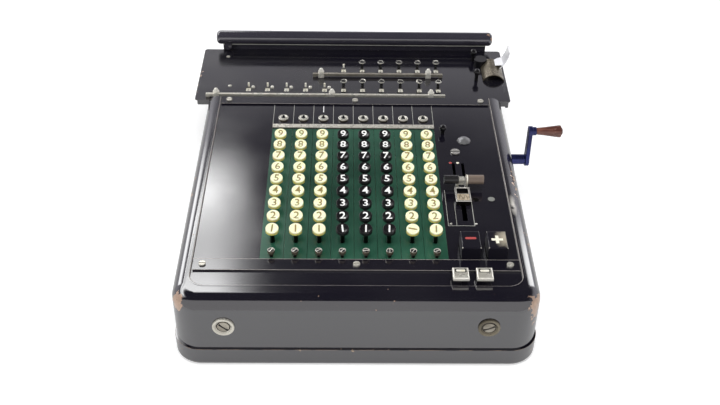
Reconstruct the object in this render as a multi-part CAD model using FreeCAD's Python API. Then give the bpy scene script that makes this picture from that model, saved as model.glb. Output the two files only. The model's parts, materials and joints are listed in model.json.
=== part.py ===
import FreeCAD, Part
import math
import os

# Key-set stepped-drum calculator with a sliding carriage. Millimetres, +Z up, +Y to the back, +X to the
# operator's right. The origin is the centre of the tray's underside, on the table. "Depth" values are
# distances behind the front face; "level" values are heights above the table.

V = FreeCAD.Vector
X_AXIS = V(1, 0, 0)
Y_AXIS = V(0, 1, 0)
Z_AXIS = V(0, 0, 1)

# ---------------------------------------------------------------- driving dimensions

# Clearances
running_fit = 0.05          # radial, shaft in bearing
guide_fit = 0.08            # radial, key stem in guide hole
slide_gap = 0.2             # flat sliding faces
seat_gap = 0.03             # radial, piece fixed on its shaft or in its hole
running_gap = 0.5           # moving piece beside a fixed one
panel_gap = 0.5             # edge of a loose panel to its opening

# Tray, housing and hood
body_width = 304.0
body_depth = 412.0
tray_height = 19.0
tray_wall = 2.5
tray_lip = 1.5              # the tray stands this much proud of the housing
tray_edge_radius = 5.0
body_top_level = 73.0
shell_wall = 2.5
front_corner_radius = 22.0
rear_corner_radius = 6.0
crown_radius = 12.0
block_depth = 303.0         # front face to the step behind the keyboard
deck_level = 38.0           # top of the low rear deck under the carriage
opening_side_margin = 12.5
opening_front_margin = 20.0
opening_corner_radius = 12.0
hood_bar_radius = 7.5
hood_bar_level = 81.0
hood_bar_overhang = 0.5     # each end, past the housing's side
hood_bar_end_radius = 4.5
hood_side_inset = 6.0       # housing's side to the hood sheet
hood_sheet = 1.5
hood_foot_depth = 8.0
hood_boss_radius = 4.5
hood_boss_length = 7.0
hood_boss_inset = 6.0       # sheet's left end to the boss's centre
foot_radius = 9.0
foot_flange = 2.5
foot_flange_height = 2.0
foot_inset = 34.0

# Lock knobs on the front
lock_inset = 43.0           # housing's side to the knob's centre
lock_level = 45.0
lock_radius = 9.25
lock_height = 1.8
lock_rim = 2.4
lock_recess = 1.2
lock_slot = 2.2
lock_shank_radius = 3.5
lock_shank_length = 11.0

# Keyboard plate, strips and rail
plate_drop = 2.0            # plate top below the housing top
plate_thickness = 2.0
ledge_depth = 18.0          # bare plate in front of the front strip
front_strip_width = 14.0
rear_strip_width = 13.0
cover_strip_height = 1.6
cover_strip_margin = 2.5    # each end, inside the plate
field_depth = 194.5         # front strip to nickel rail
field_rail_width = 6.0
field_rail_height = 2.0
green_strip_height = 1.0
green_strip_gap = 0.3
strip_lap = 4.0             # green strip over the plate at each end
screw_radius = 3.0
screw_head = 1.4
screw_shank_radius = 1.5
screw_shank_length = 5.0
screw_slot = 0.8
screw_end_inset = 10.0

# Digit keys
columns = 8
rows = 9
field_margin = 70.0         # housing's left side to the first column's strip
panel_width = 74.0          # last column's strip to the housing's right side
row_pitch = 17.7
first_row_setback = 23.0    # front strip to the centre of row 1
key_height = 16.2           # key top above the plate
key_radius = 5.6
key_cap_height = 4.4
key_edge = 0.8              # rounded edge of the cap
key_dish = 0.5
key_skirt_height = 2.6
key_neck_radius = 2.9
key_stem_radius = 2.0
key_travel = 4.0
clear_key_height = 8.5
clear_ball_radius = 2.7
clear_stem_radius = 1.5
clear_key_travel = 1.8
clear_setback = 3.7         # front strip to the clear keys

# Check windows
window_setback = 14.5       # nickel rail to window centre
window_radius = 5.0
window_hole_radius = 3.0
window_height = 2.8

# Function keys, placed by their inset from the housing's right side
sign_key_width = 16.6
sign_key_length = 22.0
sign_key_height = 14.0
sign_key_sink = 5.0         # body of the key below the plate top
sign_key_well = 0.5
sign_key_edge = 1.0
plus_inset = 33.0
minus_inset = 55.4
sign_setback = 11.8         # front strip to the sign keys' centre
sign_stem = 6.0
sign_key_travel = 4.0
tab_key_size = 13.5
tab_key_height = 9.0
tab_key_thickness = 3.2
tab_key_edge = 1.2
tab_key_setback = 7.6       # opening front to the tab keys' centre
left_tab_inset = 66.5
right_tab_inset = 46.7
tab_stem_width = 5.0
tab_stem_offset = 3.9       # stem centre from the tab centre, towards the other tab
tab_stem_thickness = 2.4
tab_key_travel = 3.0

# Levers, slide key, push knob and fittings, placed by the same inset
lever_start_depth = 153.0
lever_travel = 36.0
lever_handle_level = 81.0
lever_stem_width = 2.4
lever_stem_length = 5.0
lever_foot = 7.6
lever_foot_height = 6.0
dark_stem_inset = 59.3
dark_handle_radius = 4.0
dark_handle_length = 11.0
tan_stem_inset = 50.6
tan_handle_radius = 4.3
tan_handle_length = 14.2
slide_key_inset = 55.0
slide_key_depth = 138.5
slide_key_width = 13.7
slide_key_length = 21.0
slide_key_height = 4.5
slide_key_travel = 28.0
slide_key_rim = 1.6
slide_key_pocket = 8.0
slide_key_pocket_depth = 2.5
slide_key_stem_width = 4.0
slide_key_stem_length = 8.0
slide_track_left = 15.5     # track edge to the left of the slide key's centre
slide_track_sink = 0.6
push_knob_inset = 66.0
push_knob_setback = 6.0     # in front of the nickel rail's front edge
push_knob_height = 10.0
push_ball_radius = 3.5
push_stem_radius = 2.0
push_knob_travel = 2.5
cap_inset = 46.0
cap_depth = 228.0
cap_radius = 7.0
cap_height = 4.0
panel_screw_inset = 56.0
panel_screw_depth = 209.0
panel_screw_radius = 4.5
rivet_inset = 29.0
rivet_depth = 136.0
rivet_radius = 3.2
rivet_height = 0.8

# Crank
crank_level = 46.0
crank_depth = 233.0
crank_shaft_radius = 5.0
crank_arm_length = 34.0
crank_arm_thickness = 4.0
crank_standoff = 17.0       # housing's side to the inner face of the arm
crank_hub_radius = 6.5
crank_eye_radius = 5.0
crank_web_hub_width = 11.2
crank_web_eye_width = 8.4
crank_ferrule_radius = 4.2
crank_ferrule_length = 3.6
crank_pin_radius = 2.0
crank_pin_head_radius = 3.4
crank_pin_head = 1.2
grip_length = 24.0
grip_neck_radius = 3.6
grip_end_radius = 6.2
grip_edge = 1.5

# Frames, gears, drums and shafts inside
frame_thickness = 3.0
frame_side_inset = 21.0     # housing's side to the inner face of a side frame
frame_front_depth = 30.0
frame_window_radius = 14.0
frame_window_depths = (90.0, 165.0)
bar_thickness = 5.0
bar_level = 14.0            # underside of the bearing bars
front_bar_setback = 1.0     # in front of the front strip's rear edge
rear_bar_setback = 7.0      # last key row to the rear bearing bar, past the drum's end
main_shaft_level = 27.0
main_shaft_radius = 4.0
spur_pitch_radius = 12.5
spur_teeth = 20
spur_width = 7.0
spur_addendum = 0.9
spur_dedendum = 1.7
spur_tooth_share = 0.40     # tooth width over pitch
tooth_tip_share = 0.76      # width at the tip over the width at the pitch line
tooth_root_share = 1.24
bevel_radius = 10.0
bevel_face = 4.0
bevel_teeth = 16
bevel_relief = 0.25         # each bevel inside its pitch cone
bevel_groove = 0.80         # root radius over outside radius
drum_gap = 6.0              # between the teeth of neighbouring drums
drum_tooth_height = 3.0
drum_tooth_width = 2.6
drum_tooth_angle = 20.0
drum_tooth_lead = 6.0       # tooth starts ahead of its key row
drum_shaft_radius = 3.0
setting_shaft_radius = 2.5
pinion_radius = 5.0
pinion_root_radius = 3.6
pinion_teeth = 10
pinion_length = 8.0
end_bevel_face = 2.5
end_bevel_hub_radius = 4.0
end_bevel_hub_length = 2.0

# Carriage
carriage_gap = 2.0          # step of the housing to the cover's front flange
cover_left_overhang = 14.0
cover_right_overhang = 10.0
cover_depth = 103.0
cover_level = 67.0          # top of the cover
cover_sheet = 1.0
cover_flange_height = 5.0
cover_front_radius = 2.5
cover_rear_radius = 3.0
peg_radius = 1.75
peg_length = 8.0
peg_inset = 3.0
frame_wall = 3.0
carriage_floor_level = 54.0
carriage_floor = 2.0
carriage_left_margin = 6.0  # last dial's edge to the outside of the frame
carriage_right_inset = 2.0  # housing's side to the frame
carriage_frame_inset = 6.0  # cover's front edge to the frame
carriage_frame_depth = 88.0
rail_width = 7.0
rail_end_margin = 3.0
lower_dials = 11
lower_knobs = 6
upper_dials = 6
upper_knobs = 5
lower_dial_setback = 27.0   # cover's front edge to the lower dials' axes
upper_dial_setback = 66.0
dial_window_inset = 3.6     # window's centre inside the dial's front edge
dial_window_width = 5.0
dial_window_length = 7.0
dial_gap = 0.4              # between neighbouring dials
dial_thickness = 2.0
dial_drop = 0.2             # dial face below the cover's underside
dial_gear_radius = 6.0
dial_gear_thickness = 2.5
dial_axle_radius = 1.5
knob_height = 8.0
knob_ring_radius = 3.5
knob_ring_height = 1.4
knob_cup_radius = 2.4
knob_cup_depth = 0.7
bare_pin_radius = 1.0
bare_pin_height = 4.0
pointer_rail_width = 3.0
pointer_rail_height = 3.0
pointer_rail_lift = 1.2
pointer_post_length = 4.0
lower_rail_setback = 6.0
lower_rail_inset = 11.0     # cover's left edge to the lower rail
rail_overrun = 6.0          # past the first dial's axis, on the right
upper_rail_setback = 47.0
upper_rail_overrun = 33.0   # past the last upper dial's axis, on the left
pointer_width = 6.0
pointer_wall = 1.5
pointer_nose = 5.0
pointer_fit = 0.15
lower_pointer_places = (11.6, 5.6, 0.45)    # pitches to the left of the first dial
upper_pointer_places = (6.2, 0.475)
carriage_knob_inset = 20.0  # frame's right side to the knobs
carriage_knob_height = 14.0
carriage_knob_ball = 3.6
carriage_knob_stem = 2.0
front_knob_setback = 42.0
rear_knob_setback = 83.0
clearing_hub_inset = 13.0   # frame's right side to the hub
clearing_hub_setback = 73.0
clearing_hub_radius = 7.0
clearing_hub_height = 8.0
clearing_pin_radius = 3.0
arch_sheet = 1.0
arch_span = 23.0
arch_rise = 7.0
arch_lift = 0.8             # arch above the cover
arch_length = 34.0
arch_overlap = 1.0          # arch end behind the hub's centre
wing_rise = 20.0
wing_reach = 9.0
wing_length = 17.0
wing_inset = 3.2            # wing's foot inside the arch's right edge
wing_lift = 4.4             # wing's foot above the arch's edge
wing_bulge = 2.2

# ---------------------------------------------------------------- places worked out from the sizes

front_y = -body_depth / 2.0
half_width = body_width / 2.0
step_y = front_y + block_depth
rear_y = front_y + body_depth
plate_top = body_top_level - plate_drop
plate_bottom = plate_top - plate_thickness
opening_half = half_width - opening_side_margin
opening_y = front_y + opening_front_margin
plate_front_y = opening_y + panel_gap
plate_half = opening_half - panel_gap
front_strip_y = plate_front_y + ledge_depth
field_y = front_strip_y + front_strip_width
rail_y = field_y + field_depth
rear_strip_y = step_y - rear_strip_width
row_1_y = field_y + first_row_setback
column_pitch = (body_width - field_margin - panel_width) / columns
field_left = -half_width + field_margin
field_right = half_width - panel_width
last_row_y = row_1_y + (rows - 1) * row_pitch
clear_y = field_y + clear_setback
key_top = plate_top + key_height
strip_top = plate_top + green_strip_height
plus_x = half_width - plus_inset
minus_x = half_width - minus_inset
left_tab_x = half_width - left_tab_inset
right_tab_x = half_width - right_tab_inset
dark_stem_x = half_width - dark_stem_inset
tan_stem_x = half_width - tan_stem_inset
slide_key_x = half_width - slide_key_inset
push_knob_x = half_width - push_knob_inset
cap_x = half_width - cap_inset
panel_screw_x = half_width - panel_screw_inset
rivet_x = half_width - rivet_inset
crank_arm_x = half_width + crank_standoff

frame_half = half_width - frame_side_inset
frame_bottom = tray_wall
front_bar_y = field_y - front_bar_setback
drum_front_y = front_bar_y + bar_thickness + running_gap
drum_rear_y = last_row_y + rear_bar_setback
rear_bar_y = drum_rear_y + running_gap
pinion_y = drum_front_y + running_gap
crank_y = front_y + crank_depth
spur_drop = crank_level - main_shaft_level
main_shaft_y = crank_y + math.sqrt((2 * spur_pitch_radius) ** 2 - spur_drop ** 2)
spur_x = frame_half + frame_thickness + running_gap
drum_core_radius = column_pitch - drum_gap / 2.0 - drum_tooth_height
shaft_rise = math.sqrt((drum_core_radius + drum_tooth_height + pinion_radius) ** 2 - (column_pitch / 2) ** 2)
setting_level = main_shaft_level + shaft_rise
stem_floor = setting_level + pinion_radius      # nothing inside stands higher under the keys

cover_y = step_y + carriage_gap
cover_bottom = cover_level - cover_sheet
carriage_y = cover_y + carriage_frame_inset
carriage_rear_y = carriage_y + carriage_frame_depth
carriage_rail_top = carriage_floor_level - slide_gap
lower_dial_y = cover_y + lower_dial_setback
upper_dial_y = cover_y + upper_dial_setback
dial_top = cover_bottom - dial_drop
dial_radius = (column_pitch - dial_gap) / 2.0
dial_window_offset = dial_radius - dial_window_inset
first_dial_x = field_right + column_pitch / 2.0
last_dial_x = first_dial_x - (lower_dials - 1) * column_pitch
last_upper_dial_x = first_dial_x - (upper_dials - 1) * column_pitch
cover_left = -half_width - cover_left_overhang
cover_right = half_width + cover_right_overhang
carriage_left = last_dial_x - dial_radius - carriage_left_margin
carriage_right = half_width - carriage_right_inset
carriage_knob_x = carriage_right - carriage_knob_inset
clearing_hub_x = carriage_right - clearing_hub_inset
lower_rail_left = cover_left + lower_rail_inset
upper_rail_left = last_upper_dial_x - upper_rail_overrun
rail_right = first_dial_x + rail_overrun
lower_rail_y = cover_y + lower_rail_setback
upper_rail_y = cover_y + upper_rail_setback
hood_bar_y = cover_y + cover_depth + hood_sheet + hood_sheet / 2.0
hood_bottom = deck_level

# ---------------------------------------------------------------- shape helpers


def box(x0, x1, y0, y1, z0, z1):
    """Block between two corners."""
    return Part.makeBox(x1 - x0, y1 - y0, z1 - z0, V(x0, y0, z0))


def rod(x, y, z, radius, length, axis=Z_AXIS):
    """Cylinder that starts at a point and runs along an axis."""
    return Part.makeCylinder(radius, length, V(x, y, z), axis)


def turned(x, y, profile):
    """Solid turned about a vertical axis from (radius, level) points."""
    points = [V(x + radius, y, level) for radius, level in profile]
    points.append(points[0])
    face = Part.Face(Part.makePolygon(points))
    return face.revolve(V(x, y, 0), Z_AXIS, 360)


def fused(shapes):
    """One solid from touching or overlapping shapes."""
    return shapes[0].multiFuse(shapes[1:]).removeSplitter()


def drilled(shape, tools):
    """Shape less all the tools."""
    return shape.cut(Part.makeCompound(tools))


def is_vertical(edge):
    """True for a straight edge along Z."""
    start, end = edge.Vertexes[0].Point, edge.Vertexes[-1].Point
    return abs(start.x - end.x) < 1e-6 and abs(start.y - end.y) < 1e-6


def corners_rounded(shape, radius, y_low, y_high):
    """Fillet the vertical edges whose Y lies within a band."""
    edges = [e for e in shape.Edges if is_vertical(e) and y_low <= e.Vertexes[0].Y <= y_high]
    return shape.makeFillet(radius, edges)


def edges_at_level(shape, level):
    """Edges that lie wholly at one height."""
    return [e for e in shape.Edges if all(abs(v.Z - level) < 1e-6 for v in e.Vertexes)]


def slab(x0, x1, y0, y1, z0, z1, front_radius, rear_radius):
    """Block with rounded front and rear vertical corners."""
    shape = corners_rounded(box(x0, x1, y0, y1, z0, z1), front_radius, y0 - 1, y0 + 1)
    return corners_rounded(shape, rear_radius, y1 - 1, y1 + 1)


def gear_wire(outer, root, teeth, share, phase):
    """Closed outline of straight-flanked teeth in the XY plane."""
    points = []
    pitch = 2 * math.pi / teeth
    for tooth in range(teeth):
        centre = phase + tooth * pitch
        tip = tooth_tip_share * share * pitch / 2.0
        foot = tooth_root_share * share * pitch / 2.0
        for radius, offset in ((root, -foot), (outer, -tip), (outer, tip), (root, foot)):
            angle = centre + offset
            points.append(V(radius * math.cos(angle), radius * math.sin(angle), 0))
    points.append(points[0])
    return Part.makePolygon(points)


def gear(outer, root, teeth, share, length, phase=0.0):
    """Toothed wheel along Z from the origin."""
    return Part.Face(gear_wire(outer, root, teeth, share, phase)).extrude(V(0, 0, length))


def bevel(large_radius, face, teeth):
    """45 degree bevel along Z: large end at the origin, narrowing upwards, inside its pitch cone."""
    outer = large_radius - bevel_relief
    small = (large_radius - face - bevel_relief) / outer
    low = gear_wire(outer, outer * bevel_groove, teeth, spur_tooth_share, 0.0)
    high = low.copy().scale(small)
    high.translate(V(0, 0, face))
    return Part.makeLoft([low, high], True, True)


def placed(shape, x, y, z, axis=Z_AXIS):
    """Copy of a shape built along Z, turned so that Z runs along an axis, and moved."""
    result = shape.copy()
    result.Placement = FreeCAD.Placement(V(x, y, z), FreeCAD.Rotation(Z_AXIS, axis))
    return result


def column_x(column):
    """Centre of a key column, counted from 0 on the left."""
    return field_left + (column + 0.5) * column_pitch


def drum_xs():
    """Drum axes, each between two neighbouring columns."""
    return [(column_x(2 * pair) + column_x(2 * pair + 1)) / 2.0 for pair in range(columns // 2)]


def save(name, shape):
    """Write one sub-part."""
    shape.exportStep("parts/" + name + ".step")


# ---------------------------------------------------------------- tray, housing and hood


def foot_places():
    """Centres of the four rubber pads."""
    x = half_width - foot_inset
    return [(sx * x, sy * (body_depth / 2.0 - foot_inset)) for sx in (-1, 1) for sy in (-1, 1)]


def base_tray():
    """Pressed tray with rounded corners, a little wider than the housing."""
    x = half_width + tray_lip
    y = body_depth / 2.0 + tray_lip
    outer = slab(-x, x, -y, y, 0, tray_height, front_corner_radius + tray_lip, rear_corner_radius + tray_lip)
    outer = outer.makeFillet(tray_edge_radius, edges_at_level(outer, 0))
    ix = x - tray_wall
    iy = y - tray_wall
    front_radius = front_corner_radius + tray_lip - tray_wall
    rear_radius = rear_corner_radius + tray_lip - tray_wall
    inner = slab(-ix, ix, -iy, iy, tray_wall, tray_height + 1, front_radius, rear_radius)
    inner = inner.makeFillet(tray_edge_radius - tray_wall, edges_at_level(inner, tray_wall))
    holes = [rod(px, py, -1, foot_radius + seat_gap, tray_wall + 2) for px, py in foot_places()]
    return drilled(outer.cut(inner), holes)


def rubber_feet():
    """Pads set flush in the tray floor, held by a flange on the inside."""
    pads = []
    for x, y in foot_places():
        pad = rod(x, y, 0, foot_radius, tray_wall)
        flange = rod(x, y, tray_wall, foot_radius + foot_flange, foot_flange_height)
        pads.append(fused([pad, flange]))
    return Part.makeCompound(pads)


def keyboard_block(inset, z_low, z_high):
    """Keyboard block with rounded front corners and a rounded top edge, or its inside."""
    x = half_width - inset
    shape = box(-x, x, front_y + inset, step_y - inset, z_low, z_high)
    shape = corners_rounded(shape, front_corner_radius - inset, front_y + inset - 1, front_y + inset + 1)
    limit = step_y - inset - 1e-3
    crown = [e for e in edges_at_level(shape, z_high) if min(v.Y for v in e.Vertexes) < limit]
    return shape.makeFillet(crown_radius - inset, crown)


def housing_shell():
    """Cover with a raised keyboard block and a low rear deck."""
    x = half_width
    block = keyboard_block(0, tray_height, body_top_level)
    lap_y = step_y - front_corner_radius
    deck = box(-x, x, lap_y, rear_y, tray_height, deck_level)
    deck = corners_rounded(deck, rear_corner_radius, rear_y - 1, rear_y + 1)
    outer = block.fuse(deck).removeSplitter()
    ix = x - shell_wall
    inside = keyboard_block(shell_wall, tray_height - 1, body_top_level - shell_wall)
    under_deck = box(-ix, ix, lap_y, rear_y - shell_wall, tray_height - 1, deck_level - shell_wall)
    under_deck = corners_rounded(under_deck, rear_corner_radius - shell_wall, rear_y - shell_wall - 1,
                                 rear_y - shell_wall + 1)
    shell = outer.cut(inside).cut(under_deck)
    opening = box(-opening_half, opening_half, opening_y, step_y + 1, plate_bottom, body_top_level + 1)
    opening = corners_rounded(opening, opening_corner_radius, opening_y - 1, opening_y + 1)
    shell = shell.cut(opening)
    cuts = [crank_hole()]
    cuts += shaft_holes(step_y - shell_wall - 1, shell_wall + 2, running_gap)
    for lock_x in lock_xs():
        hole_radius = lock_shank_radius + seat_gap
        cuts.append(rod(lock_x, front_y - 1, lock_level, hole_radius, shell_wall + 2, Y_AXIS))
    return drilled(shell, cuts)


def crank_hole():
    """Clearance hole for the crank shaft in the right wall."""
    start = half_width - shell_wall - 1
    return rod(start, crank_y, crank_level, crank_shaft_radius + running_gap, shell_wall + 2, X_AXIS)


def rear_hood():
    """Rear sheet that carries a rolled bar, with a stop boss under the bar's left end."""
    half = half_width - hood_side_inset
    bar_half = half_width + hood_bar_overhang
    bar = rod(-bar_half, hood_bar_y, hood_bar_level, hood_bar_radius, 2 * bar_half, X_AXIS)
    ends = [e for e in bar.Edges if isinstance(e.Curve, Part.Circle)]
    bar = bar.makeFillet(hood_bar_end_radius, ends)
    sheet_y = hood_bar_y - hood_sheet / 2.0
    sheet = box(-half, half, sheet_y, sheet_y + hood_sheet, hood_bottom, hood_bar_level)
    foot = box(-half, half, sheet_y - hood_foot_depth, sheet_y, hood_bottom, hood_bottom + hood_sheet)
    boss_level = hood_bar_level - hood_bar_radius
    boss = rod(hood_boss_inset - half, hood_bar_y - hood_bar_radius, boss_level, hood_boss_radius,
               hood_boss_length, Y_AXIS)
    return fused([bar, sheet, foot, boss])


def lock_xs():
    """Centres of the two lock knobs."""
    return [lock_inset - half_width, half_width - lock_inset]


def lock_knobs():
    """Round knobs with a dished face and a slotted centre."""
    knobs = []
    for x in lock_xs():
        head = rod(x, front_y - lock_height, lock_level, lock_radius, lock_height, Y_AXIS)
        recess = rod(x, front_y - lock_height, lock_level, lock_radius - lock_rim, lock_recess, Y_AXIS)
        centre = rod(x, front_y - lock_height + 1, lock_level, lock_shank_radius, lock_shank_length, Y_AXIS)
        half = lock_slot / 2.0
        face_y = front_y - lock_height
        slot = box(x - half, x + half, face_y, face_y + lock_slot, lock_level - lock_radius / 2.0,
                   lock_level + lock_radius / 2.0)
        knobs.append(head.cut(recess).fuse(centre).removeSplitter().cut(slot))
    return Part.makeCompound(knobs)


# ---------------------------------------------------------------- frames, drums, shafts


def shaft_holes(y, length, clearance):
    """Holes for the setting shafts, along Y."""
    radius = setting_shaft_radius + clearance
    return [rod(column_x(c), y, setting_level, radius, length, Y_AXIS) for c in range(columns)]


def side_frames():
    """Two upright plates that carry the keyboard plate, the bars and the shafts."""
    plates = []
    for x in (-frame_half - frame_thickness, frame_half):
        plate = box(x, x + frame_thickness, front_y + frame_front_depth, step_y - shell_wall - panel_gap,
                    frame_bottom, plate_bottom)
        start = x - 1
        through = frame_thickness + 2
        cuts = [rod(start, main_shaft_y, main_shaft_level, main_shaft_radius + running_fit, through, X_AXIS)]
        if x > 0:
            cuts.append(rod(start, crank_y, crank_level, crank_shaft_radius + running_fit, through, X_AXIS))
        for depth in frame_window_depths:
            window = rod(start, front_y + depth, body_top_level / 2.0, frame_window_radius, through, X_AXIS)
            cuts.append(window)
        plates.append(drilled(plate, cuts))
    return Part.makeCompound(plates)


def bearing_bar(y):
    """Cross bar with bores for the drum shafts and the setting shafts."""
    bar = box(-frame_half, frame_half, y, y + bar_thickness, bar_level, stem_floor)
    cuts = shaft_holes(y - 1, bar_thickness + 2, running_fit)
    bore_radius = drum_shaft_radius + running_fit
    for x in drum_xs():
        cuts.append(rod(x, y - 1, main_shaft_level, bore_radius, bar_thickness + 2, Y_AXIS))
    return drilled(bar, cuts)


def carriage_rail(y):
    """Rail across the rear deck."""
    half = half_width - rail_end_margin
    return box(-half, half, y, y + rail_width, deck_level, carriage_rail_top)


def frame_bars():
    """Bearing bars between the side frames, and the two carriage rails."""
    front_rail = drilled(carriage_rail(carriage_y), shaft_holes(carriage_y - 1, rail_width + 2, running_fit))
    rear_rail = carriage_rail(carriage_rear_y - rail_width)
    return Part.makeCompound([bearing_bar(front_bar_y), bearing_bar(rear_bar_y), front_rail, rear_rail])


def setting_shafts():
    """Shafts under the columns: a sliding pinion at the front, a bevel at the carriage end."""
    shafts = []
    start_y = front_bar_y - 1
    pinion = gear(pinion_radius, pinion_root_radius, pinion_teeth, spur_tooth_share, pinion_length)
    pinion = pinion.cut(rod(0, 0, -1, setting_shaft_radius + seat_gap, pinion_length + 2))
    bevel_y = lower_dial_y - pinion_radius
    end_bevel = bevel(pinion_radius, end_bevel_face, pinion_teeth)
    hub = rod(0, 0, -end_bevel_hub_length, end_bevel_hub_radius, end_bevel_hub_length)
    bore = rod(0, 0, -2 * end_bevel_hub_length, setting_shaft_radius + seat_gap, 4 * pinion_radius)
    end_bevel = fused([end_bevel, hub]).cut(bore)
    length = bevel_y + end_bevel_face - start_y
    for column in range(columns):
        x = column_x(column)
        shafts.append(rod(x, start_y, setting_level, setting_shaft_radius, length, Y_AXIS))
        shafts.append(placed(pinion, x, pinion_y, setting_level, Y_AXIS))
        shafts.append(placed(end_bevel, x, bevel_y, setting_level, Y_AXIS))
    return Part.makeCompound(shafts)


def stepped_drum(x):
    """Drum with nine teeth of falling length, on a shaft that ends in a bevel."""
    length = drum_rear_y - drum_front_y
    drum = rod(x, drum_front_y, main_shaft_level, drum_core_radius, length, Y_AXIS)
    teeth = [drum]
    for tooth in range(rows):
        start = row_1_y + tooth * row_pitch - drum_tooth_lead
        half = drum_tooth_width / 2.0
        top = main_shaft_level + drum_core_radius + drum_tooth_height
        bar = box(x - half, x + half, start, drum_rear_y, main_shaft_level + drum_core_radius / 2.0, top)
        bar.rotate(V(x, 0, main_shaft_level), Y_AXIS, 90 + (tooth + 1) * drum_tooth_angle)
        teeth.append(bar)
    shaft_start = front_bar_y - 1
    shaft_end = main_shaft_y - bevel_radius
    teeth.append(rod(x, shaft_start, main_shaft_level, drum_shaft_radius, shaft_end - shaft_start, Y_AXIS))
    drum = fused(teeth)
    wheel = placed(bevel(bevel_radius, bevel_face, bevel_teeth), x, shaft_end, main_shaft_level, Y_AXIS)
    return drum.fuse(wheel)


def main_shaft():
    """Cross shaft with a spur gear at the crank end and a bevel for each drum."""
    start = -frame_half - frame_thickness - running_gap
    end = spur_x + spur_width + running_gap
    pieces = [rod(start, main_shaft_y, main_shaft_level, main_shaft_radius, end - start, X_AXIS)]
    bore = rod(0, 0, -1, main_shaft_radius + seat_gap, spur_width + bevel_radius)
    outer = spur_pitch_radius + spur_addendum
    phase = gear_contact_angle() + math.pi + math.pi / spur_teeth
    spur = gear(outer, spur_pitch_radius - spur_dedendum, spur_teeth, spur_tooth_share, spur_width, phase)
    pieces.append(placed_across(spur.cut(bore), spur_x, main_shaft_y, main_shaft_level))
    wheel = bevel(bevel_radius, bevel_face, bevel_teeth).cut(bore)
    for x in drum_xs():
        pieces.append(placed_across(wheel, x - bevel_radius, main_shaft_y, main_shaft_level))
    return Part.makeCompound(pieces)


def placed_across(shape, x, y, z):
    """Copy of a shape built along Z with its X towards +Y, its Y up and its Z along +X."""
    result = shape.copy()
    turn = FreeCAD.Rotation(Y_AXIS, Z_AXIS, X_AXIS, "ZXY")
    result.Placement = FreeCAD.Placement(V(x, y, z), turn)
    return result


def gear_contact_angle():
    """Direction from the crank axis to the main shaft, in the plane of +Y and up."""
    return math.atan2(main_shaft_level - crank_level, main_shaft_y - crank_y)


# ---------------------------------------------------------------- crank


def crank_shaft():
    """Stub shaft through the side frame with its spur gear."""
    start = frame_half + running_gap
    shaft = rod(start, crank_y, crank_level, crank_shaft_radius, crank_arm_x - start, X_AXIS)
    outer = spur_pitch_radius + spur_addendum
    root = spur_pitch_radius - spur_dedendum
    spur = gear(outer, root, spur_teeth, spur_tooth_share, spur_width, gear_contact_angle())
    spur = spur.cut(rod(0, 0, -1, crank_shaft_radius + seat_gap, spur_width + 2))
    return Part.makeCompound([shaft, placed_across(spur, spur_x, crank_y, crank_level)])


def crank_arm():
    """Flat arm, wide at the hub and narrow at the eye, with a ferrule and the grip's pin."""
    eye_level = crank_level + crank_arm_length
    hub = rod(crank_arm_x, crank_y, crank_level, crank_hub_radius, crank_arm_thickness, X_AXIS)
    eye = rod(crank_arm_x, crank_y, eye_level, crank_eye_radius, crank_arm_thickness, X_AXIS)
    wide = crank_web_hub_width / 2.0
    narrow = crank_web_eye_width / 2.0
    outline = [V(crank_arm_x, crank_y - wide, crank_level), V(crank_arm_x, crank_y + wide, crank_level),
               V(crank_arm_x, crank_y + narrow, eye_level), V(crank_arm_x, crank_y - narrow, eye_level)]
    outline.append(outline[0])
    web = Part.Face(Part.makePolygon(outline)).extrude(V(crank_arm_thickness, 0, 0))
    ferrule_x = crank_arm_x + crank_arm_thickness
    ferrule = rod(ferrule_x, crank_y, eye_level, crank_ferrule_radius, crank_ferrule_length, X_AXIS)
    pin_length = crank_ferrule_length + grip_length + 2 * slide_gap
    pin = rod(ferrule_x, crank_y, eye_level, crank_pin_radius, pin_length, X_AXIS)
    head = rod(ferrule_x + pin_length, crank_y, eye_level, crank_pin_head_radius, crank_pin_head, X_AXIS)
    return fused([hub, eye, web, ferrule, pin, head])


def crank_grip():
    """Turned wooden grip, flaring away from the arm, loose on its pin."""
    x = crank_arm_x + crank_arm_thickness + crank_ferrule_length + slide_gap
    bore = crank_pin_radius + running_fit
    profile = [(bore, 0), (grip_neck_radius, 0), (grip_end_radius, grip_length - grip_edge),
               (grip_end_radius - grip_edge, grip_length), (bore, grip_length)]
    return placed(turned(0, 0, profile), x, crank_y, crank_level + crank_arm_length, X_AXIS)


# ---------------------------------------------------------------- keyboard plate and strips


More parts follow.
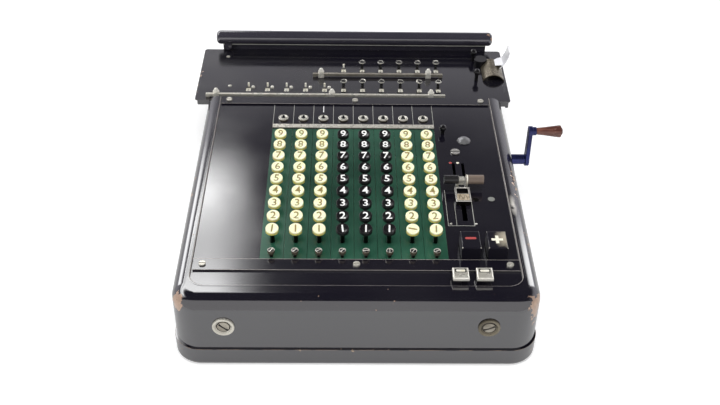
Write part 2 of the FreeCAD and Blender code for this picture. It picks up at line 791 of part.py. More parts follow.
def keyboard_plate():
    """Top plate with the key field's opening and the slots, wells and holes of the panel."""
    x = plate_half
    plate = box(-x, x, plate_front_y, step_y, plate_bottom, plate_top)
    plate = corners_rounded(plate, opening_corner_radius - panel_gap, plate_front_y - 1, plate_front_y + 1)
    low = plate_bottom - 1
    high = plate_top + 1
    cuts = [box(field_left + strip_lap, field_right - strip_lap, clear_y - clear_stem_radius - 1,
                rail_y - strip_lap, low, high)]
    for column in range(columns):
        cuts.append(rod(column_x(column), window_y(), low, window_hole_radius, plate_thickness + 2))
    for sign_x in (plus_x, minus_x):
        cuts.append(box_about(sign_x, sign_y(), sign_key_width + 2 * sign_key_well,
                              sign_key_length + 2 * sign_key_well, low, high))
    for stem_x in (left_tab_stem_x(), right_tab_stem_x()):
        cuts.append(travel_slot(stem_x, tab_y(), tab_stem_width, tab_stem_thickness, 0, 0))
    for stem_x in (dark_stem_x, tan_stem_x):
        cuts.append(travel_slot(stem_x, lever_y(), lever_stem_width, lever_stem_length, 0, lever_travel))
    cuts.append(travel_slot(slide_key_x, slide_y(), slide_key_stem_width, slide_key_stem_length,
                            slide_key_travel, 0))
    track_right = slide_key_x + slide_key_width / 2.0 + panel_gap
    track_front = slide_y() - slide_key_length / 2.0 - slide_key_travel - panel_gap
    track_rear = slide_y() + slide_key_length / 2.0 + panel_gap
    cuts.append(box(slide_key_x - slide_track_left, track_right, track_front, track_rear,
                    plate_top - slide_track_sink, high))
    through = plate_thickness + 2
    cuts.append(rod(push_knob_x, push_y(), low, push_stem_radius + guide_fit, through))
    for x, y in screw_places() + fitting_places():
        cuts.append(rod(x, y, low, screw_shank_radius + seat_gap, through))
    return drilled(plate, cuts)


def box_about(x, y, width, length, z_low, z_high):
    """Block centred on a point."""
    return box(x - width / 2.0, x + width / 2.0, y - length / 2.0, y + length / 2.0, z_low, z_high)


def travel_slot(x, y, width, length, forward, backward):
    """Slot through the plate for a stem that moves along Y."""
    half = width / 2.0 + slide_gap
    reach = length / 2.0 + slide_gap
    return box(x - half, x + half, y - reach - forward, y + reach + backward, plate_bottom - 1, plate_top + 1)


def window_y():
    """Centre line of the check windows."""
    return rail_y + field_rail_width / 2.0 + window_setback


def sign_y():
    """Centre line of the plus and minus keys."""
    return field_y + sign_setback


def tab_y():
    """Centre line of the tab keys."""
    return plate_front_y + tab_key_setback


def lever_y():
    """Stem centre of the levers in their front position."""
    return front_y + lever_start_depth


def slide_y():
    """Centre of the slide key in its rear position."""
    return front_y + slide_key_depth


def push_y():
    """Centre of the push knob."""
    return rail_y - push_knob_setback


def column_strips():
    """Eight thin coloured strips with a guide hole for each key."""
    strips = []
    for column in range(columns):
        x = column_x(column)
        half = (column_pitch - green_strip_gap) / 2.0
        strip = box(x - half, x + half, field_y, rail_y, plate_top, strip_top)
        holes = [rod(x, row_1_y + row * row_pitch, plate_top - 1, key_stem_radius + guide_fit,
                     green_strip_height + 2) for row in range(rows)]
        holes.append(rod(x, clear_y, plate_top - 1, clear_stem_radius + guide_fit, green_strip_height + 2))
        strips.append(drilled(strip, holes))
    return Part.makeCompound(strips)


def screw_places():
    """Screws of the front and rear cover strips."""
    x = plate_half - screw_end_inset
    places = []
    for y in (front_strip_y + front_strip_width / 2.0, rear_strip_y + rear_strip_width / 2.0):
        places += [(-x, y), (0, y), (x, y)]
    return places


def fitting_places():
    """Panel screw, domed cap and rivet."""
    return [(panel_screw_x, front_y + panel_screw_depth), (cap_x, front_y + cap_depth),
            (rivet_x, front_y + rivet_depth)]


def cover_strips():
    """Front and rear cover strips and the nickel rail behind the key field."""
    x = plate_half - cover_strip_margin
    top = plate_top + cover_strip_height
    front = box(-x, x, front_strip_y, field_y, plate_top, top)
    rear = box(-x, x, rear_strip_y, step_y, plate_top, top)
    holes = [rod(sx, sy, plate_top - 1, screw_shank_radius + seat_gap, cover_strip_height + 2)
             for sx, sy in screw_places()]
    rail = box(field_left, field_right, rail_y, rail_y + field_rail_width, plate_top,
               plate_top + field_rail_height)
    return Part.makeCompound([drilled(front, holes), drilled(rear, holes), rail])


def screw(x, y, level, radius):
    """Slotted cheese-head screw standing on a level."""
    head = rod(x, y, level, radius, screw_head)
    shank = rod(x, y, level - screw_shank_length, screw_shank_radius, screw_shank_length)
    slot = box(x - radius, x + radius, y - screw_slot / 2.0, y + screw_slot / 2.0, level + screw_head / 2.0,
               level + screw_head + 1)
    return fused([head, shank]).cut(slot)


def panel_fittings():
    """Strip screws, panel screw, domed cap and rivet."""
    pieces = [screw(x, y, plate_top + cover_strip_height, screw_radius) for x, y in screw_places()]
    screw_place, cap_place, rivet_place = fitting_places()
    pieces.append(screw(screw_place[0], screw_place[1], plate_top, panel_screw_radius))
    dome_radius = (cap_radius ** 2 + cap_height ** 2) / (2 * cap_height)
    dome = Part.makeSphere(dome_radius, V(cap_place[0], cap_place[1], plate_top + cap_height - dome_radius))
    dome = dome.common(rod(cap_place[0], cap_place[1], plate_top, cap_radius, cap_height + 1))
    stud = rod(cap_place[0], cap_place[1], plate_bottom - 1, screw_shank_radius, plate_thickness + 2)
    pieces.append(fused([dome, stud]))
    rivet = rod(rivet_place[0], rivet_place[1], plate_top, rivet_radius, rivet_height)
    stud = rod(rivet_place[0], rivet_place[1], plate_bottom - 1, screw_shank_radius, plate_thickness + 1)
    pieces.append(fused([rivet, stud]))
    return Part.makeCompound(pieces)


def check_windows():
    """Dished nickel rings that frame the check windows."""
    rings = []
    for column in range(columns):
        profile = [(window_hole_radius, plate_top), (window_radius, plate_top),
                   (window_radius, plate_top + window_height / 2.0),
                   (window_radius - window_height / 2.0, plate_top + window_height),
                   (window_hole_radius, plate_top + window_height / 3.0)]
        rings.append(turned(column_x(column), window_y(), profile))
    return Part.makeCompound(rings)


# ---------------------------------------------------------------- keys, levers and knobs on the keyboard


def stem_bottom(travel):
    """Lowest point of a key's stem, clear of the works when the key is down."""
    return stem_floor + travel + running_gap


def digit_key(x, y):
    """Round key: deep cap with a dished face, conical skirt and stem."""
    cap_low = key_top - key_cap_height
    neck = cap_low - key_skirt_height
    bottom = stem_bottom(key_travel)
    profile = [(0, key_top - key_dish), (key_radius - key_edge, key_top), (key_radius, key_top - key_edge),
               (key_radius, cap_low), (key_neck_radius, neck), (key_stem_radius, neck),
               (key_stem_radius, bottom), (0, bottom)]
    return turned(x, y, profile)


def keys_column(column):
    """The nine digit keys of one column."""
    return Part.makeCompound([digit_key(column_x(column), row_1_y + row * row_pitch) for row in range(rows)])


def ball_pin(x, y, top, ball_radius, stem_radius, bottom):
    """Stem with a ball on top."""
    ball = Part.makeSphere(ball_radius, V(x, y, top - ball_radius))
    stem = rod(x, y, bottom, stem_radius, top - ball_radius - bottom)
    return fused([ball, stem])


def column_clear_keys():
    """Small ball-headed keys, one in front of each column."""
    pins = []
    for column in range(columns):
        pins.append(ball_pin(column_x(column), clear_y, plate_top + clear_key_height, clear_ball_radius,
                             clear_stem_radius, stem_bottom(clear_key_travel)))
    return Part.makeCompound(pins)


def sign_key(x):
    """Tall square key that sinks into a well in the plate."""
    top = plate_top + sign_key_height
    foot = plate_top - sign_key_sink
    body = box_about(x, sign_y(), sign_key_width, sign_key_length, foot, top)
    body = body.makeFillet(sign_key_edge, edges_at_level(body, top))
    stem = box_about(x, sign_y(), sign_stem, sign_stem, stem_bottom(sign_key_travel), foot)
    return fused([body, stem])


def left_tab_stem_x():
    """Stem of the left tab key, on its inner side."""
    return left_tab_x + tab_stem_offset


def right_tab_stem_x():
    """Stem of the right tab key, on its inner side."""
    return right_tab_x - tab_stem_offset


def tab_key(x, stem_x):
    """Square tab on a flat stem."""
    top = plate_top + tab_key_height
    tab = box_about(x, tab_y(), tab_key_size, tab_key_size, top - tab_key_thickness, top)
    tab = tab.makeFillet(tab_key_edge, edges_at_level(tab, top))
    stem = box_about(stem_x, tab_y(), tab_stem_width, tab_stem_thickness, stem_bottom(tab_key_travel),
                     top - tab_key_thickness)
    return fused([tab, stem])


def lever(stem_x, handle_radius, handle_length, side):
    """Flat stem in a slot, a foot under the plate and a round handle to one side."""
    y = lever_y()
    foot_top = plate_bottom - slide_gap
    foot = box_about(stem_x, y, lever_foot, lever_foot, foot_top - lever_foot_height, foot_top)
    stem = box_about(stem_x, y, lever_stem_width, lever_stem_length, foot_top, lever_handle_level)
    start = stem_x - side * lever_stem_width / 2.0
    handle = rod(start, y, lever_handle_level, handle_radius, handle_length + lever_stem_width, V(side, 0, 0))
    return fused([foot, stem, handle])


def slide_key():
    """Framed key on a flat stem, with a pocket behind its face."""
    y = slide_y()
    low = plate_top - slide_track_sink + slide_gap
    top = plate_top + slide_key_height
    body = box_about(slide_key_x, y, slide_key_width, slide_key_length, low, top)
    pocket_rear = y + slide_key_length / 2.0 - slide_key_rim
    half = slide_key_width / 2.0 - slide_key_rim
    pocket = box(slide_key_x - half, slide_key_x + half, pocket_rear - slide_key_pocket, pocket_rear,
                 top - slide_key_pocket_depth, top + 1)
    foot_top = plate_bottom - slide_gap
    stem = box_about(slide_key_x, y, slide_key_stem_width, slide_key_stem_length, foot_top, low)
    foot_bottom = foot_top - lever_foot_height
    foot = box_about(slide_key_x, y, lever_foot, slide_key_stem_length, foot_bottom, foot_top)
    return fused([body.cut(pocket), stem, foot])


def panel_knob():
    """Ball-headed push knob beside the key field."""
    return ball_pin(push_knob_x, push_y(), plate_top + push_knob_height, push_ball_radius, push_stem_radius,
                    stem_bottom(push_knob_travel))


# ---------------------------------------------------------------- carriage


def dial_x(index):
    """Axis of a register dial, counted from 0 on the right; part counts fall between the dials."""
    return first_dial_x - index * column_pitch


def dial_places(first, last, y):
    """Axes of a run of dials."""
    return [(dial_x(index), y) for index in range(first, last)]


def knobbed_places():
    """Dials that have a twirl knob, lower row first."""
    return dial_places(0, lower_knobs, lower_dial_y) + dial_places(0, upper_knobs, upper_dial_y)


def bare_places():
    """Dials that have only a pin."""
    lower = dial_places(lower_knobs, lower_dials, lower_dial_y)
    return lower + dial_places(upper_knobs, upper_dials, upper_dial_y)


def carriage_cover():
    """Flat cover with a front flange, register windows, and a stop peg under its right front corner."""
    plate = slab(cover_left, cover_right, cover_y, cover_y + cover_depth, cover_bottom, cover_level,
                 cover_front_radius, cover_rear_radius)
    flange_bottom = cover_bottom - cover_flange_height
    flange = box(cover_left + cover_front_radius, cover_right - cover_front_radius, cover_y,
                 cover_y + cover_sheet, flange_bottom, cover_bottom)
    peg_bottom = cover_bottom - peg_length
    peg = rod(cover_right - peg_inset, cover_y + cover_sheet + peg_inset, peg_bottom, peg_radius, peg_length)
    cover = fused([plate, flange, peg])
    cuts = []
    low = cover_bottom - 1
    through = cover_sheet + 2
    for x, y in knobbed_places():
        cuts.append(rod(x, y, low, dial_axle_radius + running_fit, through))
    for x, y in bare_places():
        cuts.append(rod(x, y, low, bare_pin_radius + running_fit, through))
    for x, y in knobbed_places() + bare_places():
        window = box_about(x, y - dial_window_offset, dial_window_width, dial_window_length, low,
                           cover_level + 1)
        cuts.append(window)
    pivot_radius = clearing_pin_radius + running_fit
    cuts.append(rod(clearing_hub_x, cover_y + clearing_hub_setback, low, pivot_radius, through))
    for setback in (front_knob_setback, rear_knob_setback):
        cuts.append(rod(carriage_knob_x, cover_y + setback, low, carriage_knob_stem + seat_gap, through))
    return drilled(cover, cuts)


def carriage_frame():
    """Shallow box under the cover with bearings for the dials."""
    floor = carriage_floor_level
    outer = box(carriage_left, carriage_right, carriage_y, carriage_rear_y, floor, cover_bottom)
    inner = box(carriage_left + frame_wall, carriage_right - frame_wall, carriage_y + frame_wall,
                carriage_rear_y - frame_wall, floor + carriage_floor, cover_bottom + 1)
    bores = [rod(x, y, carriage_floor_level - 1, dial_axle_radius + running_fit, carriage_floor + 2)
             for x, y in knobbed_places() + bare_places()]
    return drilled(outer.cut(inner), bores)


def dial_profile():
    """Outline of a dial below its face, from the axle's foot to the dial's edge."""
    floor_top = carriage_floor_level + carriage_floor
    gear_low = floor_top + running_gap
    gear_high = gear_low + dial_gear_thickness
    dial_low = dial_top - dial_thickness
    return [(0, carriage_floor_level + slide_gap), (dial_axle_radius, carriage_floor_level + slide_gap),
            (dial_axle_radius, gear_low), (dial_gear_radius, gear_low), (dial_gear_radius, gear_high),
            (dial_axle_radius + 1, gear_high), (dial_axle_radius + 1, dial_low), (dial_radius, dial_low),
            (dial_radius, dial_top)]


def knobbed_dial(x, y):
    """Register dial with a twirl knob above the cover."""
    knob_top = cover_level + knob_height
    ring_low = knob_top - knob_ring_height
    cup_low = knob_top - knob_cup_depth
    profile = dial_profile() + [(dial_axle_radius, dial_top), (dial_axle_radius, ring_low),
                                (knob_ring_radius, ring_low), (knob_ring_radius, knob_top),
                                (knob_cup_radius, knob_top), (knob_cup_radius, cup_low), (0, cup_low)]
    return turned(x, y, profile)


def bare_dials():
    """Register dials whose axles end in a short pin."""
    dials = []
    for x, y in bare_places():
        pin_top = cover_level + bare_pin_height
        profile = dial_profile() + [(bare_pin_radius, dial_top), (bare_pin_radius, pin_top), (0, pin_top)]
        dials.append(turned(x, y, profile))
    return Part.makeCompound(dials)


def pointer_rail(left, y):
    """Square rail held just above the cover by a post at each end."""
    half = pointer_rail_width / 2.0
    low = cover_level + pointer_rail_lift
    rail = box(left, rail_right, y - half, y + half, low, low + pointer_rail_height)
    posts = [box(x, x + pointer_post_length, y - half, y + half, cover_level, low)
             for x in (left, rail_right - pointer_post_length)]
    return fused([rail] + posts)


def pointer_rails():
    """Rails of the lower and upper register."""
    return Part.makeCompound([pointer_rail(lower_rail_left, lower_rail_y),
                              pointer_rail(upper_rail_left, upper_rail_y)])


def pointer(x, y):
    """Rider that straddles a rail, with a nose that points to the register."""
    half = pointer_rail_width / 2.0 + pointer_fit
    low = cover_level + slide_gap
    rail_low = cover_level + pointer_rail_lift
    inner_top = rail_low + pointer_rail_height + pointer_fit
    top = inner_top + pointer_wall
    saddle = box_about(x, y, pointer_width, 2 * (half + pointer_wall), low, top)
    saddle = saddle.cut(box(x - pointer_width, x + pointer_width, y - half, y + half, low - 1, inner_top))
    nose_y = y + half + pointer_wall
    side = pointer_width / 2.0
    outline = [V(x - side, nose_y, low), V(x + side, nose_y, low), V(x, nose_y + pointer_nose, low)]
    outline.append(outline[0])
    nose = Part.Face(Part.makePolygon(outline)).extrude(V(0, 0, pointer_rail_height))
    return fused([saddle, nose])


def carriage_knobs():
    """Two ball-headed knobs on the right of the cover."""
    knobs = []
    for setback in (front_knob_setback, rear_knob_setback):
        knobs.append(ball_pin(carriage_knob_x, cover_y + setback, cover_level + carriage_knob_height,
                              carriage_knob_ball, carriage_knob_stem, cover_bottom))
    return Part.makeCompound(knobs)


def sheet_arc(x0, z0, x1, z1, bulge):
    """Circular arc in the XZ plane through two points, bulging to the left of the way from start to end."""
    chord = math.hypot(x1 - x0, z1 - z0)
    middle = V((x0 + x1) / 2.0 - bulge * (z1 - z0) / chord, 0, (z0 + z1) / 2.0 + bulge * (x1 - x0) / chord)
    return Part.Arc(V(x0, 0, z0), middle, V(x1, 0, z1)).toShape()


def curved_sheet(x0, z0, x1, z1, bulge, thickness, y, length):
    """Sheet of even thickness that follows an arc, extruded along Y."""
    arc = sheet_arc(x0, z0, x1, z1, bulge)
    centre = arc.Curve.Center
    radius = arc.Curve.Radius
    inner = []
    for point in (V(x0, 0, z0), arc.valueAt((arc.FirstParameter + arc.LastParameter) / 2.0), V(x1, 0, z1)):
        inner.append(centre + (point - centre) * ((radius - thickness) / radius))
    back = Part.Arc(inner[0], inner[1], inner[2]).toShape()
    sides = [Part.makeLine(V(x0, 0, z0), inner[0]), Part.makeLine(V(x1, 0, z1), inner[2])]
    wire = Part.Wire(Part.__sortEdges__([arc, back] + sides))
    sheet = Part.Face(wire).extrude(V(0, length, 0))
    sheet.translate(V(0, y, 0))
    return sheet


def clearing_lever():
    """Round hub on a pivot pin, an arched sheet in front of it and a raised thumb wing."""
    hub_y = cover_y + clearing_hub_setback
    low = cover_level + slide_gap
    hub = rod(clearing_hub_x, hub_y, low, clearing_hub_radius, clearing_hub_height)
    pin = rod(clearing_hub_x, hub_y, cover_bottom - cover_flange_height, clearing_pin_radius,
              low - cover_bottom + cover_flange_height)
    arch_low = cover_level + arch_lift
    arch_end = hub_y + arch_overlap
    arch = curved_sheet(clearing_hub_x, arch_low, clearing_hub_x + arch_span, arch_low, arch_rise, arch_sheet,
                        arch_end - arch_length, arch_length)
    wing_x = clearing_hub_x + arch_span - wing_inset
    wing_low = arch_low + wing_lift
    wing = curved_sheet(wing_x, wing_low, wing_x + wing_reach, wing_low + wing_rise, -wing_bulge, arch_sheet,
                        arch_end - wing_length, wing_length)
    return fused([hub, pin, arch, wing])


# ---------------------------------------------------------------- write every sub-part


def write_parts():
    """Write the STEP file of every sub-part."""
    save("base_tray", base_tray())
    save("rubber_feet", rubber_feet())
    save("housing_shell", housing_shell())
    save("rear_hood", rear_hood())
    save("lock_knobs", lock_knobs())
    save("side_frames", side_frames())
    save("frame_bars", frame_bars())
    save("setting_shafts", setting_shafts())
    save("main_shaft", main_shaft())
    for number, x in enumerate(drum_xs(), start=1):
        save("stepped_drum_%d" % number, stepped_drum(x))
    save("crank_shaft", crank_shaft())
    save("crank_arm", crank_arm())
    save("crank_grip", crank_grip())
    save("keyboard_plate", keyboard_plate())
    save("column_strips", column_strips())
    save("cover_strips", cover_strips())
    save("panel_fittings", panel_fittings())
    save("check_windows", check_windows())
    for column in range(columns):
        save("keys_column_%d" % (column + 1), keys_column(column))
    save("column_clear_keys", column_clear_keys())
    save("plus_key", sign_key(plus_x))
    save("minus_key", sign_key(minus_x))
    save("left_tab_key", tab_key(left_tab_x, left_tab_stem_x()))
    save("right_tab_key", tab_key(right_tab_x, right_tab_stem_x()))
    save("dark_lever", lever(dark_stem_x, dark_handle_radius, dark_handle_length, -1))
    save("tan_lever", lever(tan_stem_x, tan_handle_radius, tan_handle_length, 1))
    save("slide_key", slide_key())
    save("panel_knob", panel_knob())
    save("carriage_cover", carriage_cover())
    save("carriage_frame", carriage_frame())
    for number, (x, y) in enumerate(dial_places(0, lower_knobs, lower_dial_y), start=1):
        save("lower_dial_%d" % number, knobbed_dial(x, y))
    for number, (x, y) in enumerate(dial_places(0, upper_knobs, upper_dial_y), start=1):
        save("upper_dial_%d" % number, knobbed_dial(x, y))
    save("bare_dials", bare_dials())
    save("pointer_rails", pointer_rails())
    for number, place in enumerate(lower_pointer_places, start=1):
        save("lower_pointer_%d" % number, pointer(dial_x(place), lower_rail_y))
    for number, place in enumerate(upper_pointer_places, start=1):
        save("upper_pointer_%d" % number, pointer(dial_x(place), upper_rail_y))
    save("carriage_knobs", carriage_knobs())
    save("clearing_lever", clearing_lever())


os.makedirs("parts", exist_ok=True)
write_parts()
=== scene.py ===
"""Key-set stepped-drum calculator with a sliding carriage, finished for display.

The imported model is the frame. Each sub-assembly is a class that finishes its own nodes and adds the pieces
that the frame doesn't carry. Sizes in the dataclasses are millimetres in the frame's own axes: +X to the
operator's right, +Y to the back, +Z up, with the origin under the middle of the tray.
"""

from __future__ import annotations

import json
import logging
import math
from dataclasses import dataclass
from enum import Enum
from typing import Callable, Optional, Sequence, Union

import bmesh
import bpy
import numpy as np
from mathutils import Matrix, Vector

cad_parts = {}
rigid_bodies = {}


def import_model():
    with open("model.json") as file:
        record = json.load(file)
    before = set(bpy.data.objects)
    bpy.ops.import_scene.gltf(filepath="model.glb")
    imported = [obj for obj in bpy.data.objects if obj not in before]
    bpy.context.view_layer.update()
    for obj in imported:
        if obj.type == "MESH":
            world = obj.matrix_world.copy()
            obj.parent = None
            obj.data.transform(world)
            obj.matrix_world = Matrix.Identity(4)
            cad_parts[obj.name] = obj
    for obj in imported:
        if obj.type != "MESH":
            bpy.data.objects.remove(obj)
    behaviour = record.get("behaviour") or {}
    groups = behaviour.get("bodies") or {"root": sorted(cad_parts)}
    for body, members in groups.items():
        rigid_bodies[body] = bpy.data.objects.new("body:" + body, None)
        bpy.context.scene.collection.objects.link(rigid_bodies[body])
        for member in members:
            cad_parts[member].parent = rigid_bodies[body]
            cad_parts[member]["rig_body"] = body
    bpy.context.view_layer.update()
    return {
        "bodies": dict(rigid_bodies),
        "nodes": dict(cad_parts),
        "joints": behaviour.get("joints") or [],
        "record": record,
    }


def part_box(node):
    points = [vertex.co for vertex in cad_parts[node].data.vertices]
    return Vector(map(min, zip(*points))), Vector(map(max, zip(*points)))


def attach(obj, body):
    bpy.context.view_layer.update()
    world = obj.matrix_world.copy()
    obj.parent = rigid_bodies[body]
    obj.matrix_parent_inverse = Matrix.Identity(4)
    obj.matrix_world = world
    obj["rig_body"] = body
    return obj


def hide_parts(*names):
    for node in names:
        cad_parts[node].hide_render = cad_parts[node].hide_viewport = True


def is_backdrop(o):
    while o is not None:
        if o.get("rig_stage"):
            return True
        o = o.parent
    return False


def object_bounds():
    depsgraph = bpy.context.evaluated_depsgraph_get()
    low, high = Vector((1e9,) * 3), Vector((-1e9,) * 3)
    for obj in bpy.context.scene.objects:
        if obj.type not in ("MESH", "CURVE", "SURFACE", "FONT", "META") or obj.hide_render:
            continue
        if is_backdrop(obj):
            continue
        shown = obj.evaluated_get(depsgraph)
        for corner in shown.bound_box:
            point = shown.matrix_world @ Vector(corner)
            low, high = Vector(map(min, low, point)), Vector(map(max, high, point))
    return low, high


LOG = logging.getLogger("calculator")
MM = 0.001
SEAM_REACH = 1e-7
NODE_SEAM_REACH = 2e-6
SHORT_EDGE = 1e-6
FLAT_DEGREES = 0.4

Triple = tuple[float, float, float]
Colour = Triple
Socket = bpy.types.NodeSocket
Value = Union[float, Colour, Socket]
Grid = tuple[np.ndarray, list]
Test = Callable[[np.ndarray, np.ndarray, np.ndarray], np.ndarray]
Stops = tuple[tuple[float, float], ...]
WHITE = (1.0, 1.0, 1.0)
COOL = (1.0, 0.98, 1.05)
UNSTRETCHED = (1.0, 1.0, 1.0)


# ---------------------------------------------------------------- node building


class NodeTree:
    """Short calls that add and join shader nodes."""

    def __init__(self, tree: bpy.types.NodeTree) -> None:
        """Hold the node tree that the nodes go into."""
        self.tree = tree

    def put(self, socket: Socket, value: Value) -> None:
        """Link a socket to another one, or set its value.

        Args:
            socket: Input that is fed.
            value: Number, colour or output socket.
        """
        if isinstance(value, bpy.types.NodeSocket):
            self.tree.links.new(value, socket)
        elif socket.type == "RGBA":
            socket.default_value = (*value, 1.0)
        else:
            socket.default_value = value

    def add(self, kind: str, inputs: dict, **settings: object) -> bpy.types.Node:
        """Add a node.

        Args:
            kind: Short kind, such as "Math" or "TexNoise".
            inputs: Values by input name or number.
            **settings: Properties of the node.

        Returns:
            The new node.
        """
        node = self.tree.nodes.new("ShaderNode" + kind)
        for key, value in settings.items():
            setattr(node, key, value)
        for key, value in inputs.items():
            self.put(node.inputs[key], value)
        return node

    def math(self, operation: str, first: Value, second: Value = 0.0) -> Socket:
        """Combine two numbers by Blender's name of an operation, and give the result's socket."""
        return self.add("Math", {0: first, 1: second}, operation=operation).outputs[0]

    def band(self, value: Value, low: float, high: float, bottom: float = 0.0, top: float = 1.0) -> Socket:
        """Ramp a value so that low gives the bottom and high gives the top, and clamp it between them."""
        return self.add("MapRange", {0: value, 1: low, 2: high, 3: bottom, 4: top}, clamp=True).outputs[0]

    def mix(self, share: Value, first: Value, second: Value) -> Socket:
        """Mix two colours by the share of the second one, and give the result's socket."""
        return self.add("Mix", {0: share, 6: first, 7: second}, data_type="RGBA").outputs[2]


class NodeSheet(NodeTree):
    """Builds the nodes of one material around its Principled shader."""

    def __init__(self, name: str) -> None:
        """Start a material.

        Args:
            name: Name of the material.
        """
        self.material = bpy.data.materials.new(name)
        self.material.use_nodes = True
        super().__init__(self.material.node_tree)
        self.surface = self.tree.nodes["Principled BSDF"]
        self.place = self.tree.nodes.new("ShaderNodeTexCoord").outputs["Object"]

    def noise(self, scale: float, detail: float, stretch: Triple = UNSTRETCHED) -> Socket:
        """Fractal noise on object coordinates.

        Args:
            scale: Repeats per metre.
            detail: Octaves.
            stretch: Factor on the scale along each axis.

        Returns:
            The noise value, about 0 to 1.
        """
        place = self.place
        if stretch != UNSTRETCHED:
            place = self.add("Mapping", {"Vector": self.place, "Scale": stretch}).outputs[0]
        return self.add("TexNoise", {"Vector": place, "Scale": scale, "Detail": detail}).outputs[0]

    def above(self, level: float) -> Socket:
        """One above a level in millimetres, and zero below it."""
        height = self.add("SeparateXYZ", {0: self.place}).outputs["Z"]
        return self.band(height, (level - 0.15) * MM, (level + 0.15) * MM)

    def near(self, patch: "Patch") -> Socket:
        """Closeness to a patch: one at its middle and zero past its reach.

        It falls with the length of the offset, once each axis is divided by its own reach.

        Args:
            patch: The place.

        Returns:
            The closeness socket.
        """
        centre = tuple(value * MM for value in patch.centre)
        scale = tuple(1.0 / (value * MM) for value in patch.reach)
        moved = self.add("VectorMath", {0: self.place, 1: centre}, operation="SUBTRACT").outputs[0]
        scaled = self.add("VectorMath", {0: moved, 1: scale}, operation="MULTIPLY").outputs[0]
        length = self.add("VectorMath", {0: scaled}, operation="LENGTH").outputs["Value"]
        return self.band(length, 1.0, 0.15, 0.0, patch.strength)

    def roughen(self, height: Value, distance: float) -> None:
        """Give the surface a relief, from a height value and a full step's height in millimetres."""
        node = self.add("Bump", {"Height": height, "Distance": distance * MM, "Strength": 1.0})
        self.put(self.surface.inputs["Normal"], node.outputs[0])

    def finish(self, colour: Value, roughness: Value, metallic: Value = 0.0, ior: float = 1.5,
               coat: float = 0.0, specular: float = 0.5) -> bpy.types.Material:
        """Feed the shader.

        Args:
            colour: Base colour.
            roughness: Roughness.
            metallic: Metallic share.
            ior: Index of refraction.
            coat: Weight of a clear coat.
            specular: Strength of the mirrored light, with 0.5 for what the index alone gives.

        Returns:
            The material.
        """
        inputs = self.surface.inputs
        self.put(inputs["Base Color"], colour)
        self.put(inputs["Roughness"], roughness)
        self.put(inputs["Metallic"], metallic)
        inputs["IOR"].default_value = ior
        inputs["Specular IOR Level"].default_value = specular
        if coat:
            inputs["Coat Weight"].default_value = coat
            inputs["Coat Roughness"].default_value = 0.08
        return self.material

    def shine(self, colour: Colour, strength: Value) -> None:
        """Make the surface give light of a colour and a strength."""
        self.put(self.surface.inputs["Emission Color"], colour)
        self.put(self.surface.inputs["Emission Strength"], strength)


@dataclass(frozen=True)
class Patch:
    """Place where a finish has worn: centre and reach along each axis in millimetres, and strength."""

    centre: Triple
    reach: Triple
    strength: float = 0.30


# ---------------------------------------------------------------- finishes


def darker(colour: Colour, share: float) -> Colour:
    """A colour with every channel multiplied by a share."""
    return tuple(share * value for value in colour)


@dataclass(frozen=True)
class Enamel:
    """Stoved enamel with an orange-peel skin, hand marks, dust, and chips down to the bare metal."""

    name: str
    slot: str = "black_enamel"
    colour: Colour = (0.0058, 0.0050, 0.0105)
    haze: Colour = (0.0098, 0.0088, 0.0140)
    bare: Colour = (0.50, 0.33, 0.23)
    rub: Colour = (0.60, 0.57, 0.52)
    roughness: float = 0.07
    roughness_spread: float = 0.07
    ior: float = 1.75
    specular: float = 0.81
    peel: float = 0.0022
    waves: float = 0.0
    chip_level: float = 0.745
    patches: tuple[Patch, ...] = ()
    rubbed: tuple[Patch, ...] = ()
    dust: Colour = (0.5, 0.47, 0.43)
    mark_scale: float = 14.0
    dust_scale: float = 1900.0
    chip_scale: float = 210.0
    rub_scale: float = 150.0
    metal_scale: float = 420.0
    peel_scale: float = 330.0
    wave_scale: float = 26.0

    def make(self) -> bpy.types.Material:
        """Chips show where fine noise plus the nearness to a patch passes the chip level.

        Returns:
            The material.
        """
        sheet = NodeSheet(self.name)
        marks = sheet.noise(self.mark_scale, 5.0)
        dust = sheet.band(sheet.noise(self.dust_scale, 2.0), 0.66, 0.80)
        chance = sheet.noise(self.chip_scale, 7.0)
        for patch in self.patches:
            chance = sheet.math("ADD", chance, sheet.near(patch))
        chips = sheet.band(chance, self.chip_level, self.chip_level + 0.035)
        skin = sheet.mix(sheet.band(marks, 0.35, 0.75), self.colour, self.haze)
        skin = sheet.mix(sheet.math("MULTIPLY", dust, 0.03), skin, self.dust)
        for patch in self.rubbed:
            broken = sheet.band(sheet.noise(self.rub_scale, 4.0), 0.34, 0.50)
            skin = sheet.mix(sheet.math("MULTIPLY", sheet.near(patch), broken), skin, self.rub)
        metal = sheet.mix(sheet.noise(self.metal_scale, 3.0), self.bare, darker(self.bare, 0.55))
        polish = sheet.band(marks, 0.3, 0.75, self.roughness, self.roughness + self.roughness_spread)
        peel = sheet.noise(self.peel_scale, 2.0)
        relief = sheet.math("SUBTRACT", peel, sheet.math("MULTIPLY", chips, 4.0))
        if self.waves:
            slow = sheet.math("MULTIPLY", sheet.noise(self.wave_scale, 1.5), self.waves / self.peel)
            relief = sheet.math("ADD", relief, slow)
        sheet.roughen(relief, self.peel)
        rough = sheet.math("ADD", polish, sheet.math("MULTIPLY", chips, 0.22))
        metallic = sheet.math("MULTIPLY", chips, 0.35)
        return sheet.finish(sheet.mix(chips, skin, metal), rough, metallic, self.ior, specular=self.specular)


